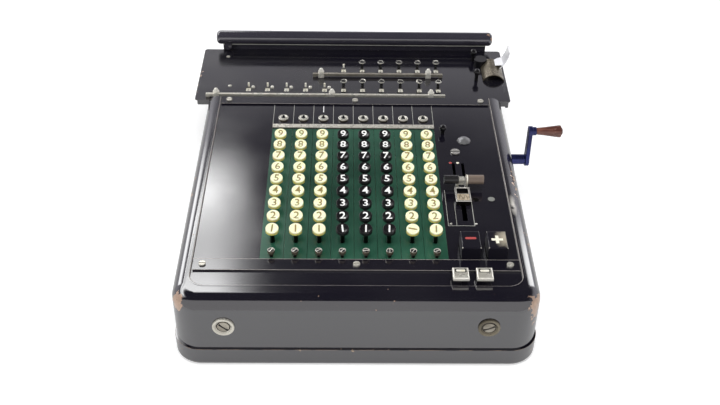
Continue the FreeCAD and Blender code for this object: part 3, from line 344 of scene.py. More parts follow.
@dataclass(frozen=True)
class WornEdge:
    """Edge where the paint has rubbed through to a bright line, broken up along its length."""

    name: str
    slot: str = "black_enamel"
    paint: Colour = (0.006, 0.006, 0.008)
    metal: Colour = (0.62, 0.54, 0.46)
    share: float = 0.5
    above: float = -1.0
    break_scale: float = 95.0
    tone_scale: float = 900.0
    relief_scale: float = 1200.0

    def make(self) -> bpy.types.Material:
        """The bright share is where slow noise passes a level set by the share, on edges above a height.

        Returns:
            The material.
        """
        sheet = NodeSheet(self.name)
        level = 0.72 - 0.44 * self.share
        rubbed = sheet.band(sheet.noise(self.break_scale, 6.0), level - 0.05, level + 0.07)
        rubbed = sheet.math("MULTIPLY", rubbed, sheet.above(self.above))
        tone = sheet.mix(sheet.noise(self.tone_scale, 3.0), self.metal, darker(self.metal, 0.6))
        rough = sheet.band(rubbed, 0.0, 1.0, 0.12, 0.34)
        metallic = sheet.math("MULTIPLY", rubbed, 0.3)
        sheet.roughen(sheet.noise(self.relief_scale, 2.0), 0.01)
        return sheet.finish(sheet.mix(rubbed, self.paint, tone), rough, metallic)


@dataclass(frozen=True)
class Metal:
    """Bare or plated metal with drawn streaks, cloudy tarnish and small dark pits."""

    name: str
    slot: str
    colour: Colour
    tarnish: Colour
    roughness: float = 0.22
    cloud: float = 0.5
    streak: Triple = (1.0, 1.0, 14.0)
    relief: float = 0.004
    metallic: float = 1.0
    cloud_scale: float = 75.0
    pit_scale: float = 850.0
    line_scale: float = 240.0

    def make(self) -> bpy.types.Material:
        """Colour and roughness follow slow clouds and stretched fine noise.

        Returns:
            The material.
        """
        sheet = NodeSheet(self.name)
        clouds = sheet.band(sheet.noise(self.cloud_scale, 5.0), 0.38, 0.72, 0.0, self.cloud)
        pits = sheet.band(sheet.noise(self.pit_scale, 3.0), 0.68, 0.76, 0.0, 0.7)
        lines = sheet.noise(self.line_scale, 3.0, self.streak)
        dull = sheet.math("MAXIMUM", clouds, pits)
        drawn = sheet.band(lines, 0.3, 0.7, self.roughness * 0.8, self.roughness * 1.25)
        rough = sheet.math("ADD", drawn, sheet.math("MULTIPLY", dull, 0.2))
        sheet.roughen(lines, self.relief)
        return sheet.finish(sheet.mix(dull, self.colour, self.tarnish), rough, self.metallic)


@dataclass(frozen=True)
class Moulded:
    """Celluloid, horn or moulded plastic: mottled through, glossy, with a little grime."""

    name: str
    slot: str
    colour: Colour
    shade: Colour
    roughness: float = 0.24
    mottle: float = 160.0
    stretch: Triple = UNSTRETCHED
    relief: float = 0.01
    glow: float = 0.0
    grime_scale: float = 760.0
    relief_scale: float = 900.0
    glow_reach: Triple = (1.0, 0.6, 0.25)
    glow_depth: float = 1.2

    def make(self) -> bpy.types.Material:
        """Colour runs between two tones on soft noise, and grime darkens small spots.

        Returns:
            The material.
        """
        sheet = NodeSheet(self.name)
        mottle = sheet.band(sheet.noise(self.mottle, 4.0, self.stretch), 0.36, 0.68)
        grime = sheet.band(sheet.noise(self.grime_scale, 4.0), 0.64, 0.78, 0.0, 0.55)
        tone = sheet.mix(mottle, self.colour, self.shade)
        sheet.roughen(sheet.noise(self.relief_scale, 2.0, self.stretch), self.relief)
        clean = sheet.band(mottle, 0.0, 1.0, self.roughness, self.roughness + 0.1)
        rough = sheet.math("ADD", clean, sheet.math("MULTIPLY", grime, 0.3))
        if self.glow:
            self._let_light_in(sheet)
        return sheet.finish(sheet.mix(grime, tone, darker(self.shade, 0.45)), rough)

    def _let_light_in(self, sheet: NodeSheet) -> None:
        """Scatter light under the surface.

        Args:
            sheet: The material's nodes.
        """
        inputs = sheet.surface.inputs
        inputs["Subsurface Weight"].default_value = self.glow
        inputs["Subsurface Radius"].default_value = self.glow_reach
        inputs["Subsurface Scale"].default_value = self.glow_depth * MM


@dataclass(frozen=True)
class Wood:
    """Turned and varnished wood with its grain along the grip."""

    name: str = "grip_varnish"
    slot: str = "grip_wood"
    light: Colour = (0.215, 0.080, 0.054)
    dark: Colour = (0.080, 0.026, 0.019)
    bare: Colour = (0.46, 0.27, 0.21)
    grain_stretch: Triple = (0.07, 1.0, 1.0)
    flame_stretch: Triple = (0.25, 1.0, 1.0)

    def make(self) -> bpy.types.Material:
        """Two octaves of noise drawn out along X give grain, a third one rubs the varnish.

        Returns:
            The material.
        """
        sheet = NodeSheet(self.name)
        grain = sheet.noise(520.0, 5.0, self.grain_stretch)
        flame = sheet.noise(110.0, 3.0, self.flame_stretch)
        share = sheet.math("ADD", sheet.math("MULTIPLY", grain, 0.6), sheet.math("MULTIPLY", flame, 0.4))
        tone = sheet.mix(sheet.band(share, 0.36, 0.64), self.dark, self.light)
        rubbed = sheet.band(sheet.noise(130.0, 4.0), 0.55, 0.72, 0.0, 0.45)
        sheet.roughen(grain, 0.03)
        rough = sheet.band(rubbed, 0.0, 0.45, 0.26, 0.5)
        return sheet.finish(sheet.mix(rubbed, tone, self.bare), rough, coat=0.25)


@dataclass(frozen=True)
class Paint:
    """Filled-in paint of figures, dots and lines, worn thin in places."""

    name: str
    slot: str
    colour: Colour
    under: Colour
    wear: float
    gap_scale: float = 520.0
    relief_scale: float = 1500.0

    def make(self) -> bpy.types.Material:
        """The colour beneath shows where noise passes a level set by the wear.

        Returns:
            The material.
        """
        sheet = NodeSheet(self.name)
        level = 0.78 - 0.4 * self.wear
        gone = sheet.band(sheet.noise(self.gap_scale, 5.0), level, level + 0.12)
        sheet.roughen(sheet.noise(self.relief_scale, 2.0), 0.01)
        return sheet.finish(sheet.mix(gone, self.colour, self.under), sheet.band(gone, 0.0, 1.0, 0.42, 0.3))


class Finishes(Enum):
    """Every finish on the machine."""

    CASE = Enamel("case_enamel", waves=0.012, patches=(
        Patch((-147.0, -198.0, 64.0), (13.0, 17.0, 14.0), 0.44),
        Patch((147.0, -199.0, 63.0), (13.0, 17.0, 14.0), 0.43),
        Patch((149.0, -200.0, 56.0), (8.0, 13.0, 22.0), 0.42),
        Patch((149.0, -135.0, 66.0), (9.0, 42.0, 14.0), 0.22),
        Patch((147.0, -40.0, 70.0), (7.0, 60.0, 7.0), 0.21),
        Patch((-150.0, -60.0, 66.0), (6.0, 120.0, 9.0), 0.12),
        Patch((0.0, -204.0, 66.0), (150.0, 8.0, 7.0), 0.06),
    ), rubbed=(Patch((141.6, -80.0, 73.0), (3.6, 17.0, 3.0), 1.0),))
    TRAY = Enamel("tray_enamel", bare=(0.40, 0.29, 0.20), patches=(
        Patch((0.0, -207.0, 18.0), (160.0, 8.0, 4.0), 0.13),
        Patch((-150.0, -200.0, 10.0), (9.0, 12.0, 12.0), 0.18),
        Patch((150.0, -200.0, 10.0), (9.0, 12.0, 12.0), 0.18),
    ))
    PLATE = Enamel("plate_enamel", chip_level=0.77, waves=0.035)
    STRIP = Enamel("strip_enamel", chip_level=0.76)
    CARRIAGE = Enamel(
        "carriage_enamel", haze=(0.010, 0.0095, 0.0115), roughness=0.09, roughness_spread=0.09,
        chip_level=0.755, waves=0.012, patches=(
            Patch((-165.0, 150.0, 66.0), (3.5, 70.0, 6.0), 0.2),
            Patch((161.0, 120.0, 66.0), (5.0, 40.0, 6.0), 0.16)))
    HOOD = Enamel("hood_enamel", colour=(0.034, 0.032, 0.044), haze=(0.040, 0.037, 0.050), patches=(
        Patch((151.0, 204.0, 82.0), (11.0, 12.0, 12.0), 0.32),
        Patch((-152.0, 204.0, 82.0), (5.0, 12.0, 12.0), 0.2)))
    INSIDE = Enamel("inner_enamel", roughness=0.4, ior=1.45, specular=0.5)
    SIGN_SIDE = Enamel("sign_side_enamel", roughness=0.5, ior=1.3, specular=0.3, chip_level=0.80)
    # partly wear, partly painted highlight: a nearly unbroken bright line along the opening and the strip
    # edges
    RIM_EDGE = WornEdge("rim_edge", metal=(0.52, 0.48, 0.45), share=1.05)
    SIGN_KEY = Enamel("sign_key_enamel", chip_level=0.78)
    PLUS_KEY = Enamel("plus_key_enamel", chip_level=0.80, rub=(0.48, 0.43, 0.33),
                      rubbed=(Patch((126.0, -139.0, 85.0), (10.5, 17.0, 5.0), 0.95),))
    CASE_EDGE = WornEdge("case_edge", metal=(0.62, 0.58, 0.54), share=0.4, above=72.2)
    PLATE_EDGE = WornEdge("plate_edge", metal=(0.40, 0.38, 0.36), share=0.6, above=70.4)
    TRAY_EDGE = WornEdge("tray_edge", metal=(0.42, 0.31, 0.22), share=0.55, above=12.0)
    STRIP_EDGE = WornEdge("strip_edge", metal=(0.50, 0.48, 0.45), share=1.1, above=72.1)
    SIGN_EDGE = WornEdge("sign_edge", metal=(0.72, 0.68, 0.60), share=0.97, above=84.2)
    SLIDE_EDGE = WornEdge("slide_edge", metal=(0.85, 0.82, 0.76), share=1.2, above=74.7)
    CARRIAGE_EDGE = WornEdge("carriage_edge", metal=(0.50, 0.46, 0.42), share=0.7, above=66.6)
    HOOD_EDGE = WornEdge("hood_edge", metal=(0.40, 0.36, 0.32), share=0.4)
    GREEN = Enamel(
        "green_strip", slot="green_enamel", colour=(0.012, 0.056, 0.034), haze=(0.032, 0.130, 0.078),
        bare=(0.20, 0.26, 0.16), roughness=0.15, roughness_spread=0.1, ior=1.5, specular=0.5,
        chip_level=0.775)
    GREEN_EDGE = WornEdge("green_edge", slot="green_enamel", paint=(0.03, 0.13, 0.07),
                          metal=(0.30, 0.44, 0.30), share=0.9)
    BRIGHT = Metal("worn_bright_nickel", "bright_nickel", (0.92, 0.90, 0.82), (0.50, 0.46, 0.36),
                   0.2, 0.4, metallic=0.5)
    NICKEL = Metal("plain_nickel", "nickel", (0.66, 0.64, 0.57), (0.34, 0.31, 0.25),
                   0.24, 0.5, metallic=0.55)
    OLD_NICKEL = Metal("old_nickel", "nickel", (0.42, 0.39, 0.33), (0.15, 0.13, 0.10),
                       0.28, 0.75, metallic=0.7)
    DARK_NICKEL = Metal("dark_nickel", "nickel", (0.20, 0.175, 0.13), (0.07, 0.06, 0.04),
                        0.24, 0.8, metallic=0.7)
    # painted reflection: polished nickel made near white and hardly metallic, for its glare
    WHITE_CHROME = Metal("white_chrome", "bright_nickel", (0.95, 0.95, 0.97), (0.70, 0.72, 0.80),
                         0.15, 0.3, metallic=0.1)
    CHROME = Metal("polished_nickel", "bright_nickel", (0.82, 0.80, 0.76), (0.42, 0.39, 0.34),
                   0.12, 0.3, metallic=0.75)
    STEEL = Metal("ground_steel", "machine_steel", (0.44, 0.44, 0.44), (0.20, 0.18, 0.16), 0.36, 0.7)
    BLACKED = Metal("blackened_steel", "machine_steel", (0.030, 0.029, 0.030), (0.07, 0.06, 0.05), 0.26, 0.6)
    BLUED = Metal("blued_crank", "blued_steel", (0.040, 0.048, 0.17), (0.030, 0.030, 0.065),
                  0.26, 0.7, (14.0, 1.0, 1.0), metallic=0.75)
    BRASS = Metal("cut_brass", "gear_brass", (0.62, 0.43, 0.17), (0.27, 0.17, 0.07), 0.32, 0.6)
    GREY_CAP = Metal("grey_cap", "machine_steel", (0.22, 0.22, 0.225), (0.12, 0.12, 0.12),
                     0.3, 0.6, metallic=0.4)
    PALE_RIVET = Metal("pale_rivet", "dial_white", (0.34, 0.35, 0.32), (0.15, 0.15, 0.14),
                       0.3, 0.6, metallic=0.4)
    RUBBER = Moulded("foot_rubber", "rubber_pad", (0.030, 0.029, 0.028), (0.055, 0.052, 0.048),
                     0.72, 300.0, relief=0.06)
    CREAM = Moulded("cream_face", "cream_keytop", (0.97, 0.96, 0.67), (0.95, 0.93, 0.60),
                    0.18, 240.0, glow=0.37)
    # partly the celluloid's yellow, partly painted shade: the cream keys' sides darker than their faces
    LEMON = Moulded("lemon_side_and_painted_shade", "cream_keytop", (0.78, 0.74, 0.22), (0.66, 0.54, 0.15),
                    0.22, 200.0, glow=0.17)
    JET = Moulded("jet_keytop", "black_keytop", (0.008, 0.008, 0.009), (0.016, 0.015, 0.016), 0.12)
    KNOB = Moulded("knob_resin", "black_knob", (0.006, 0.006, 0.007), (0.012, 0.011, 0.012), 0.10)
    BAKELITE = Moulded("dark_grip", "black_knob", (0.018, 0.017, 0.018), (0.045, 0.040, 0.038),
                       0.24, 90.0, (0.15, 1.0, 1.0))
    HORN = Moulded("tan_grip", "tan_horn", (0.24, 0.185, 0.145), (0.135, 0.10, 0.08),
                   0.26, 220.0, (0.12, 1.0, 1.0))
    IVORY = Moulded("ivory", "dial_white", (0.85, 0.83, 0.74), (0.76, 0.72, 0.58), 0.30, 200.0)
    BONE = Moulded("bone_plate", "dial_white", (0.52, 0.44, 0.32), (0.26, 0.20, 0.13), 0.38, 420.0)
    LENS = Moulded("window_dark", "black_keytop", (0.006, 0.006, 0.008), (0.012, 0.013, 0.016), 0.05)
    WOOD = Wood()
    DARK_FIGURE = Paint("dark_figure", "dial_white", (0.030, 0.027, 0.022), (0.20, 0.18, 0.10), 0.15)
    FADED_FIGURE = Paint("faded_figure", "cream_keytop", (0.27, 0.20, 0.06), (0.70, 0.60, 0.28), 0.45)
    WHITE_FIGURE = Paint("white_figure", "dial_white", (0.92, 0.92, 0.90), (0.50, 0.50, 0.48), 0.05)
    WHITE_LINE = Paint("white_line", "dial_white", (0.40, 0.40, 0.36), (0.05, 0.05, 0.05), 0.35)
    CREAM_SIGN = Paint("cream_sign", "dial_white", (0.92, 0.88, 0.72), (0.60, 0.52, 0.38), 0.1)
    RED_SIGN = Paint("red_sign", "dial_white", (0.44, 0.065, 0.06), (0.45, 0.22, 0.19), 0.2)

    @property
    def material(self) -> bpy.types.Material:
        """The finish's material, made once."""
        return bpy.data.materials.get(self.value.name) or self.value.make()


# ---------------------------------------------------------------- surfaces


class Axis(Enum):
    """Axis that a turned piece stands on."""

    X = (2, 0, 1)
    Z = (0, 1, 2)


def grid_quads(rows: int, columns: int, wrapped: bool) -> list:
    """Quads that join neighbouring rows and columns of a point grid.

    Args:
        rows: Number of rows.
        columns: Points in a row.
        wrapped: Whether the last column joins the first.

    Returns:
        Lists of four point numbers.
    """
    row = np.arange(rows - 1)[:, None]
    column = np.arange(columns if wrapped else columns - 1)[None, :]
    first = row * columns + column
    second = row * columns + (column + 1) % columns
    return np.stack([first, second, second + columns, first + columns], -1).reshape(-1, 4).tolist()


def revolve(profile: Sequence[Sequence[float]], centre: Sequence[float], axis: Axis, steps: int) -> Grid:
    """Turn a profile about an axis.

    Each point is (radius cos a, radius sin a, height), and the three numbers go to the axes in cyclic order.

    Args:
        profile: (radius, height) pairs from the lower pole outwards and up to the upper pole.
        centre: Point on the axis that the heights start from.
        axis: Axis of the turning.
        steps: Points round the axis.

    Returns:
        Points and faces.
    """
    radius, height = np.array(profile, float).T
    angle = np.arange(steps) * 2.0 * np.pi / steps
    parts = np.stack([radius[:, None] * np.cos(angle), radius[:, None] * np.sin(angle),
                      np.repeat(height[:, None], steps, 1)], -1).reshape(-1, 3)
    order = list(axis.value)
    return parts[:, order] + np.array(centre, float), grid_quads(len(radius), steps, True)


def rounded_profile(corners: Sequence[Sequence[float]], steps: int = 5) -> np.ndarray:
    """Round the inner corners of an open profile.

    A corner becomes a quadratic curve whose ends lie one radius along each side and whose control point is
    the corner.

    Args:
        corners: (x, y, radius) rows.
        steps: Points on each rounded corner.

    Returns:
        The points.
    """
    data = np.array(corners, float)
    points = [data[0, :2]]
    share = np.linspace(0.0, 1.0, steps)[:, None]
    for before, here, after in zip(data[:-2], data[1:-1], data[2:]):
        back, ahead = before[:2] - here[:2], after[:2] - here[:2]
        start = here[:2] + back * min(0.499, here[2] / max(np.linalg.norm(back), 1e-9))
        end = here[:2] + ahead * min(0.499, here[2] / max(np.linalg.norm(ahead), 1e-9))
        curve = (1 - share) ** 2 * start + 2 * share * (1 - share) * here[:2] + share ** 2 * end
        points.extend(curve if here[2] else [here[:2]])
    points.append(data[-1, :2])
    return np.array(points)


def rounded_rectangle(x: float, y: float, width: float, length: float, radius: float,
                      steps: int = 6) -> np.ndarray:
    """Outline of a rectangle with round corners, counter-clockwise.

    Each corner is an arc of a quarter turn about a point one radius inside both sides.

    Args:
        x: Centre along X.
        y: Centre along Y.
        width: Size along X.
        length: Size along Y.
        radius: Corner radius.
        steps: Points on a corner.

    Returns:
        Outline points.
    """
    turn = np.linspace(0.0, np.pi / 2, steps)
    arcs = []
    for quarter, (sx, sy) in enumerate(((1, 1), (-1, 1), (-1, -1), (1, -1))):
        angle = turn + quarter * np.pi / 2
        cx, cy = x + sx * (width / 2 - radius), y + sy * (length / 2 - radius)
        arcs.append(np.stack([cx + radius * np.cos(angle), cy + radius * np.sin(angle)], 1))
    return np.concatenate(arcs)


def shrunk(outline: np.ndarray, distance: float) -> np.ndarray:
    """Move each point of a closed outline inwards along the mean of its two sides' normals.

    Args:
        outline: Counter-clockwise outline.
        distance: Distance inwards.

    Returns:
        The smaller outline.
    """
    side = np.roll(outline, -1, 0) - outline
    normal = np.stack([-side[:, 1], side[:, 0]], 1)
    normal /= np.maximum(np.linalg.norm(normal, axis=1, keepdims=True), 1e-9)
    before = np.roll(normal, 1, 0)
    mean = normal + before
    mean /= np.maximum((mean * normal).sum(1, keepdims=True), 0.3)
    return outline + mean * distance


def raised(outline: np.ndarray, low: float, high: float, edge: float, steps: int = 4) -> Grid:
    """Stand a closed outline up as a solid with a rounded upper edge.

    Rows of the grid are the outline at the foot and along a quarter circle that turns in over the top. The
    two ends are closed with one face each.

    Args:
        outline: Counter-clockwise outline.
        low: Lower level.
        high: Upper level.
        edge: Radius of the upper edge.
        steps: Rows on the edge.

    Returns:
        Points and faces.
    """
    angle = np.linspace(0.0, np.pi / 2, steps)
    rows = [(0.0, low)] + [(edge * (1 - math.cos(a)), high - edge * (1 - math.sin(a))) for a in angle]
    count = len(outline)
    loops = [np.column_stack([shrunk(outline, inset), np.full(count, level)]) for inset, level in rows]
    faces = grid_quads(len(loops), count, True)
    faces.append(list(range(count))[::-1])
    faces.append([(len(loops) - 1) * count + number for number in range(count)])
    return np.concatenate(loops), faces


def turned(points: np.ndarray, degrees: float) -> np.ndarray:
    """Turn points about the upright axis through the origin, counter-clockwise from above."""
    cos, sin = math.cos(math.radians(degrees)), math.sin(math.radians(degrees))
    return np.column_stack([points[:, 0] * cos - points[:, 1] * sin, points[:, 0] * sin + points[:, 1] * cos,
                            points[:, 2]])


def linked(name: str, data: bpy.types.ID) -> bpy.types.Object:
    """Make an object of some data and put it into the scene.

    Args:
        name: Name of the object.
        data: Mesh, lamp or camera.

    Returns:
        The object.
    """
    new = bpy.data.objects.new(name, data)
    bpy.context.scene.collection.objects.link(new)
    return new


class Piece:
    """One visible piece: surfaces with their finishes, which become a mesh on a body."""

    def __init__(self, name: str, body: str) -> None:
        """Start a piece.

        Args:
            name: Name of the object.
            body: Body it rides on.
        """
        self.name = name
        self.body = body
        self.points: list = []
        self.faces: list = []
        self.numbers: list = []
        self.finishes: list = []
        self.count = 0

    def add(self, grid: Grid, finish: Finishes) -> "Piece":
        """Add a surface.

        Args:
            grid: Points in millimetres, and faces.
            finish: Finish of the surface.

        Returns:
            The piece.
        """
        points, faces = grid
        if finish not in self.finishes:
            self.finishes.append(finish)
        self.points.append(points * MM)
        self.faces.extend([[number + self.count for number in face] for face in faces])
        self.numbers.extend([self.finishes.index(finish)] * len(faces))
        self.count += len(points)
        return self

    def done(self, *nodes: str, sharp: float = 38.0, bevel: float = 0.0) -> bpy.types.Object:
        """Make the object, weld its seams and poles, and set it on its body.

        Args:
            *nodes: Nodes that the piece stands for.
            sharp: Angle in degrees past which an edge is crisp.
            bevel: Width of a bevel on crisp edges, in millimetres.

        Returns:
            The object.
        """
        mesh = bpy.data.meshes.new(self.name)
        mesh.from_pydata(np.concatenate(self.points).tolist(), [], self.faces)
        mesh.polygons.foreach_set("material_index", self.numbers)
        for finish in self.finishes:
            mesh.materials.append(finish.material)
        work = bmesh.new()
        work.from_mesh(mesh)
        bmesh.ops.remove_doubles(work, verts=work.verts, dist=SEAM_REACH)
        work.to_mesh(mesh)
        work.free()
        piece = linked(self.name, mesh)
        settle(piece, sharp, bevel)
        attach(piece, self.body)
        if nodes:
            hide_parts(*nodes)
        LOG.info("%s: %d faces on %s", self.name, len(mesh.polygons), self.body)
        return piece


def settle(piece: bpy.types.Object, sharp: float, bevel: float, edge_material: int = -1,
           rows: int = 2) -> None:
    """Shade a piece smooth between its crisp edges, and bevel those.

    Args:
        piece: The object.
        sharp: Angle in degrees past which an edge is crisp.
        bevel: Bevel width in millimetres, or 0 for none.
        edge_material: Material number of the bevel's faces, or -1 for that of their neighbours.
        rows: Rows of faces on the bevel.
    """
    mesh = piece.data
    mesh.polygons.foreach_set("use_smooth", np.ones(len(mesh.polygons), bool))
    mesh.set_sharp_from_angle(angle=math.radians(sharp))
    if bevel:
        cut = piece.modifiers.new("bevel", "BEVEL")
        cut.width = bevel * MM
        cut.segments = rows
        cut.limit_method = "ANGLE"
        cut.angle_limit = math.radians(sharp)
        cut.use_clamp_overlap = True
        cut.harden_normals = False
        cut.material = edge_material
    weigh = piece.modifiers.new("weigh", "WEIGHTED_NORMAL")
    weigh.keep_sharp = True


@dataclass(frozen=True)
class Part:
    """Part of a node's surface with its own finish.

    Attributes:
        finish: Finish of the part.
        inside: Test on the faces' middles in millimetres, as three arrays.
    """

    finish: Finishes
    inside: Test


def round_spot(x0: float, y0: float, reach: float) -> Test:
    """Test for faces whose middles are nearer than a reach to the upright axis at (x0, y0)."""
    return lambda x, y, z: np.hypot(x - x0, y - y0) < reach


def dress(frame: dict, node: str, finish: Finishes, bevel: float, edge: Optional[Finishes] = None,
          parts: Sequence[Part] = (), sharp: float = 33.0, rows: int = 2) -> bpy.types.Object:
    """Finish a node: a merged copy of its mesh, with flat areas joined, crisp edges bevelled and worn.

    Args:
        node: Name of the node.
        finish: Main finish.
        bevel: Bevel width in millimetres.
        edge: Finish of the bevelled edges.
        parts: Parts with another finish.
        sharp: Angle in degrees past which an edge is crisp.
        rows: Rows of faces on the bevel.

    Returns:
        The object that stands for the node.
    """
    source = frame["nodes"][node]
    mesh = source.data.copy()
    mesh.name = node + "_finished"
    mesh.materials.clear()
    work = bmesh.new()
    work.from_mesh(mesh)
    bmesh.ops.remove_doubles(work, verts=work.verts, dist=NODE_SEAM_REACH)
    bmesh.ops.dissolve_degenerate(work, edges=work.edges, dist=SHORT_EDGE)
    bmesh.ops.dissolve_limit(work, angle_limit=math.radians(FLAT_DEGREES), use_dissolve_boundaries=False,
                             verts=work.verts, edges=work.edges, delimit=set())
    work.to_mesh(mesh)
    work.free()
    finishes = [finish] + [part.finish for part in parts]
    if edge:
        finishes.append(edge)
    for entry in finishes:
        mesh.materials.append(entry.material)
    numbers = np.zeros(len(mesh.polygons), np.int32)
    if parts:
        middles = np.zeros(len(mesh.polygons) * 3, np.float32)
        mesh.polygons.foreach_get("center", middles)
        x, y, z = (middles.reshape(-1, 3) / MM).T
        for number, part in enumerate(parts, start=1):
            numbers[part.inside(x, y, z)] = number
    mesh.polygons.foreach_set("material_index", numbers)
    piece = linked(node + "_finished", mesh)
    settle(piece, sharp, bevel, len(finishes) - 1 if edge else -1, rows)
    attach(piece, source["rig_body"])
    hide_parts(node)
    LOG.info("%s: %d faces", node, len(mesh.polygons))
    return piece


class Lettering:
    """Plain figures and signs, each made a mesh once and then placed with numpy."""

    def __init__(self) -> None:
        """Start with no figures."""
        self.store: dict = {}

    def figure(self, text: str, bold: float) -> Grid:
        """A figure of unit height, centred, with a unit thickness that is scaled when it is placed.

        Args:
            text: The figure.
            bold: Outward offset of its outline.

        Returns:
            Points and faces.
        """
        key = (text, bold)
        if key not in self.store:
            curve = bpy.data.curves.new("figure", "FONT")
            curve.body = text
            curve.offset = bold
            curve.extrude = 0.5
            curve.resolution_u = 3
            holder = bpy.data.objects.new("figure", curve)
            mesh = bpy.data.meshes.new_from_object(holder)
            points = np.zeros(len(mesh.vertices) * 3, np.float32)
            mesh.vertices.foreach_get("co", points)
            points = points.reshape(-1, 3).astype(float)
            low, high = points[:, :2].min(0), points[:, :2].max(0)
            points[:, :2] = (points[:, :2] - (low + high) / 2) / (high[1] - low[1])
            self.store[key] = (points, [list(face.vertices) for face in mesh.polygons])
            bpy.data.objects.remove(holder)
            bpy.data.curves.remove(curve)
            bpy.data.meshes.remove(mesh)
        return self.store[key]

    def place(self, text: str, height: float, x: float, y: float, level: Callable[[np.ndarray], np.ndarray],
              turn: float, bold: float, thickness: float = 0.08, width: float = 1.0) -> Grid:
        """Lay a figure on a turned surface.

        The outline is turned and scaled, and each point's height is the surface's level at its distance from
        the centre plus its share of the thickness.

        Args:
            text: The figure.
            height: Height of the figure in millimetres.
            x: Centre along X.
            y: Centre along Y.
            level: Surface level at a distance from the centre.
            turn: Angle in degrees.
            bold: Outward offset of its outline.
            thickness: Thickness of the figure.
            width: Factor on its width.

        Returns:
            Points and faces.
        """
        points, faces = self.figure(text, bold)
        points = turned(points * np.array([height * width, height, thickness]), turn)
        points[:, 2] += level(np.hypot(points[:, 0], points[:, 1]))
        return points + np.array([x, y, 0.0]), faces


def bar(x0: float, x1: float, y0: float, y1: float, low: float, high: float) -> Grid:
    """Thin bar between two corners, with its corners and upper edge rounded.

    Args:
        x0: Left side.
        x1: Right side.
        y0: Front.
        y1: Back.
        low: Lower level.
        high: Upper level.

    Returns:
        Points and faces.
    """
    width, length = x1 - x0, y1 - y0
    radius = 0.24 * min(width, length)
    outline = rounded_rectangle((x0 + x1) / 2, (y0 + y1) / 2, width, length, radius, 3)
    return raised(outline, low, high, min(0.35 * (high - low), radius * 0.8), 2)


def studs(name: str, body: str, profile: Sequence[Sequence[float]], places: Sequence[tuple[float, float]],
          finish: Finishes, steps: int = 20) -> None:
    """Piece made of one turned profile at several places.

    Args:
        name: Name of the object.
        body: Body it rides on.
        profile: (radius, height) pairs.
        places: Axes of the copies, as X and Y.
        finish: Finish of the piece.
        steps: Points round each copy.
    """
    piece = Piece(name, body)
    for x, y in places:
        piece.add(revolve(profile, (x, y, 0.0), Axis.Z, steps), finish)
    piece.done()


# ---------------------------------------------------------------- sub-assemblies


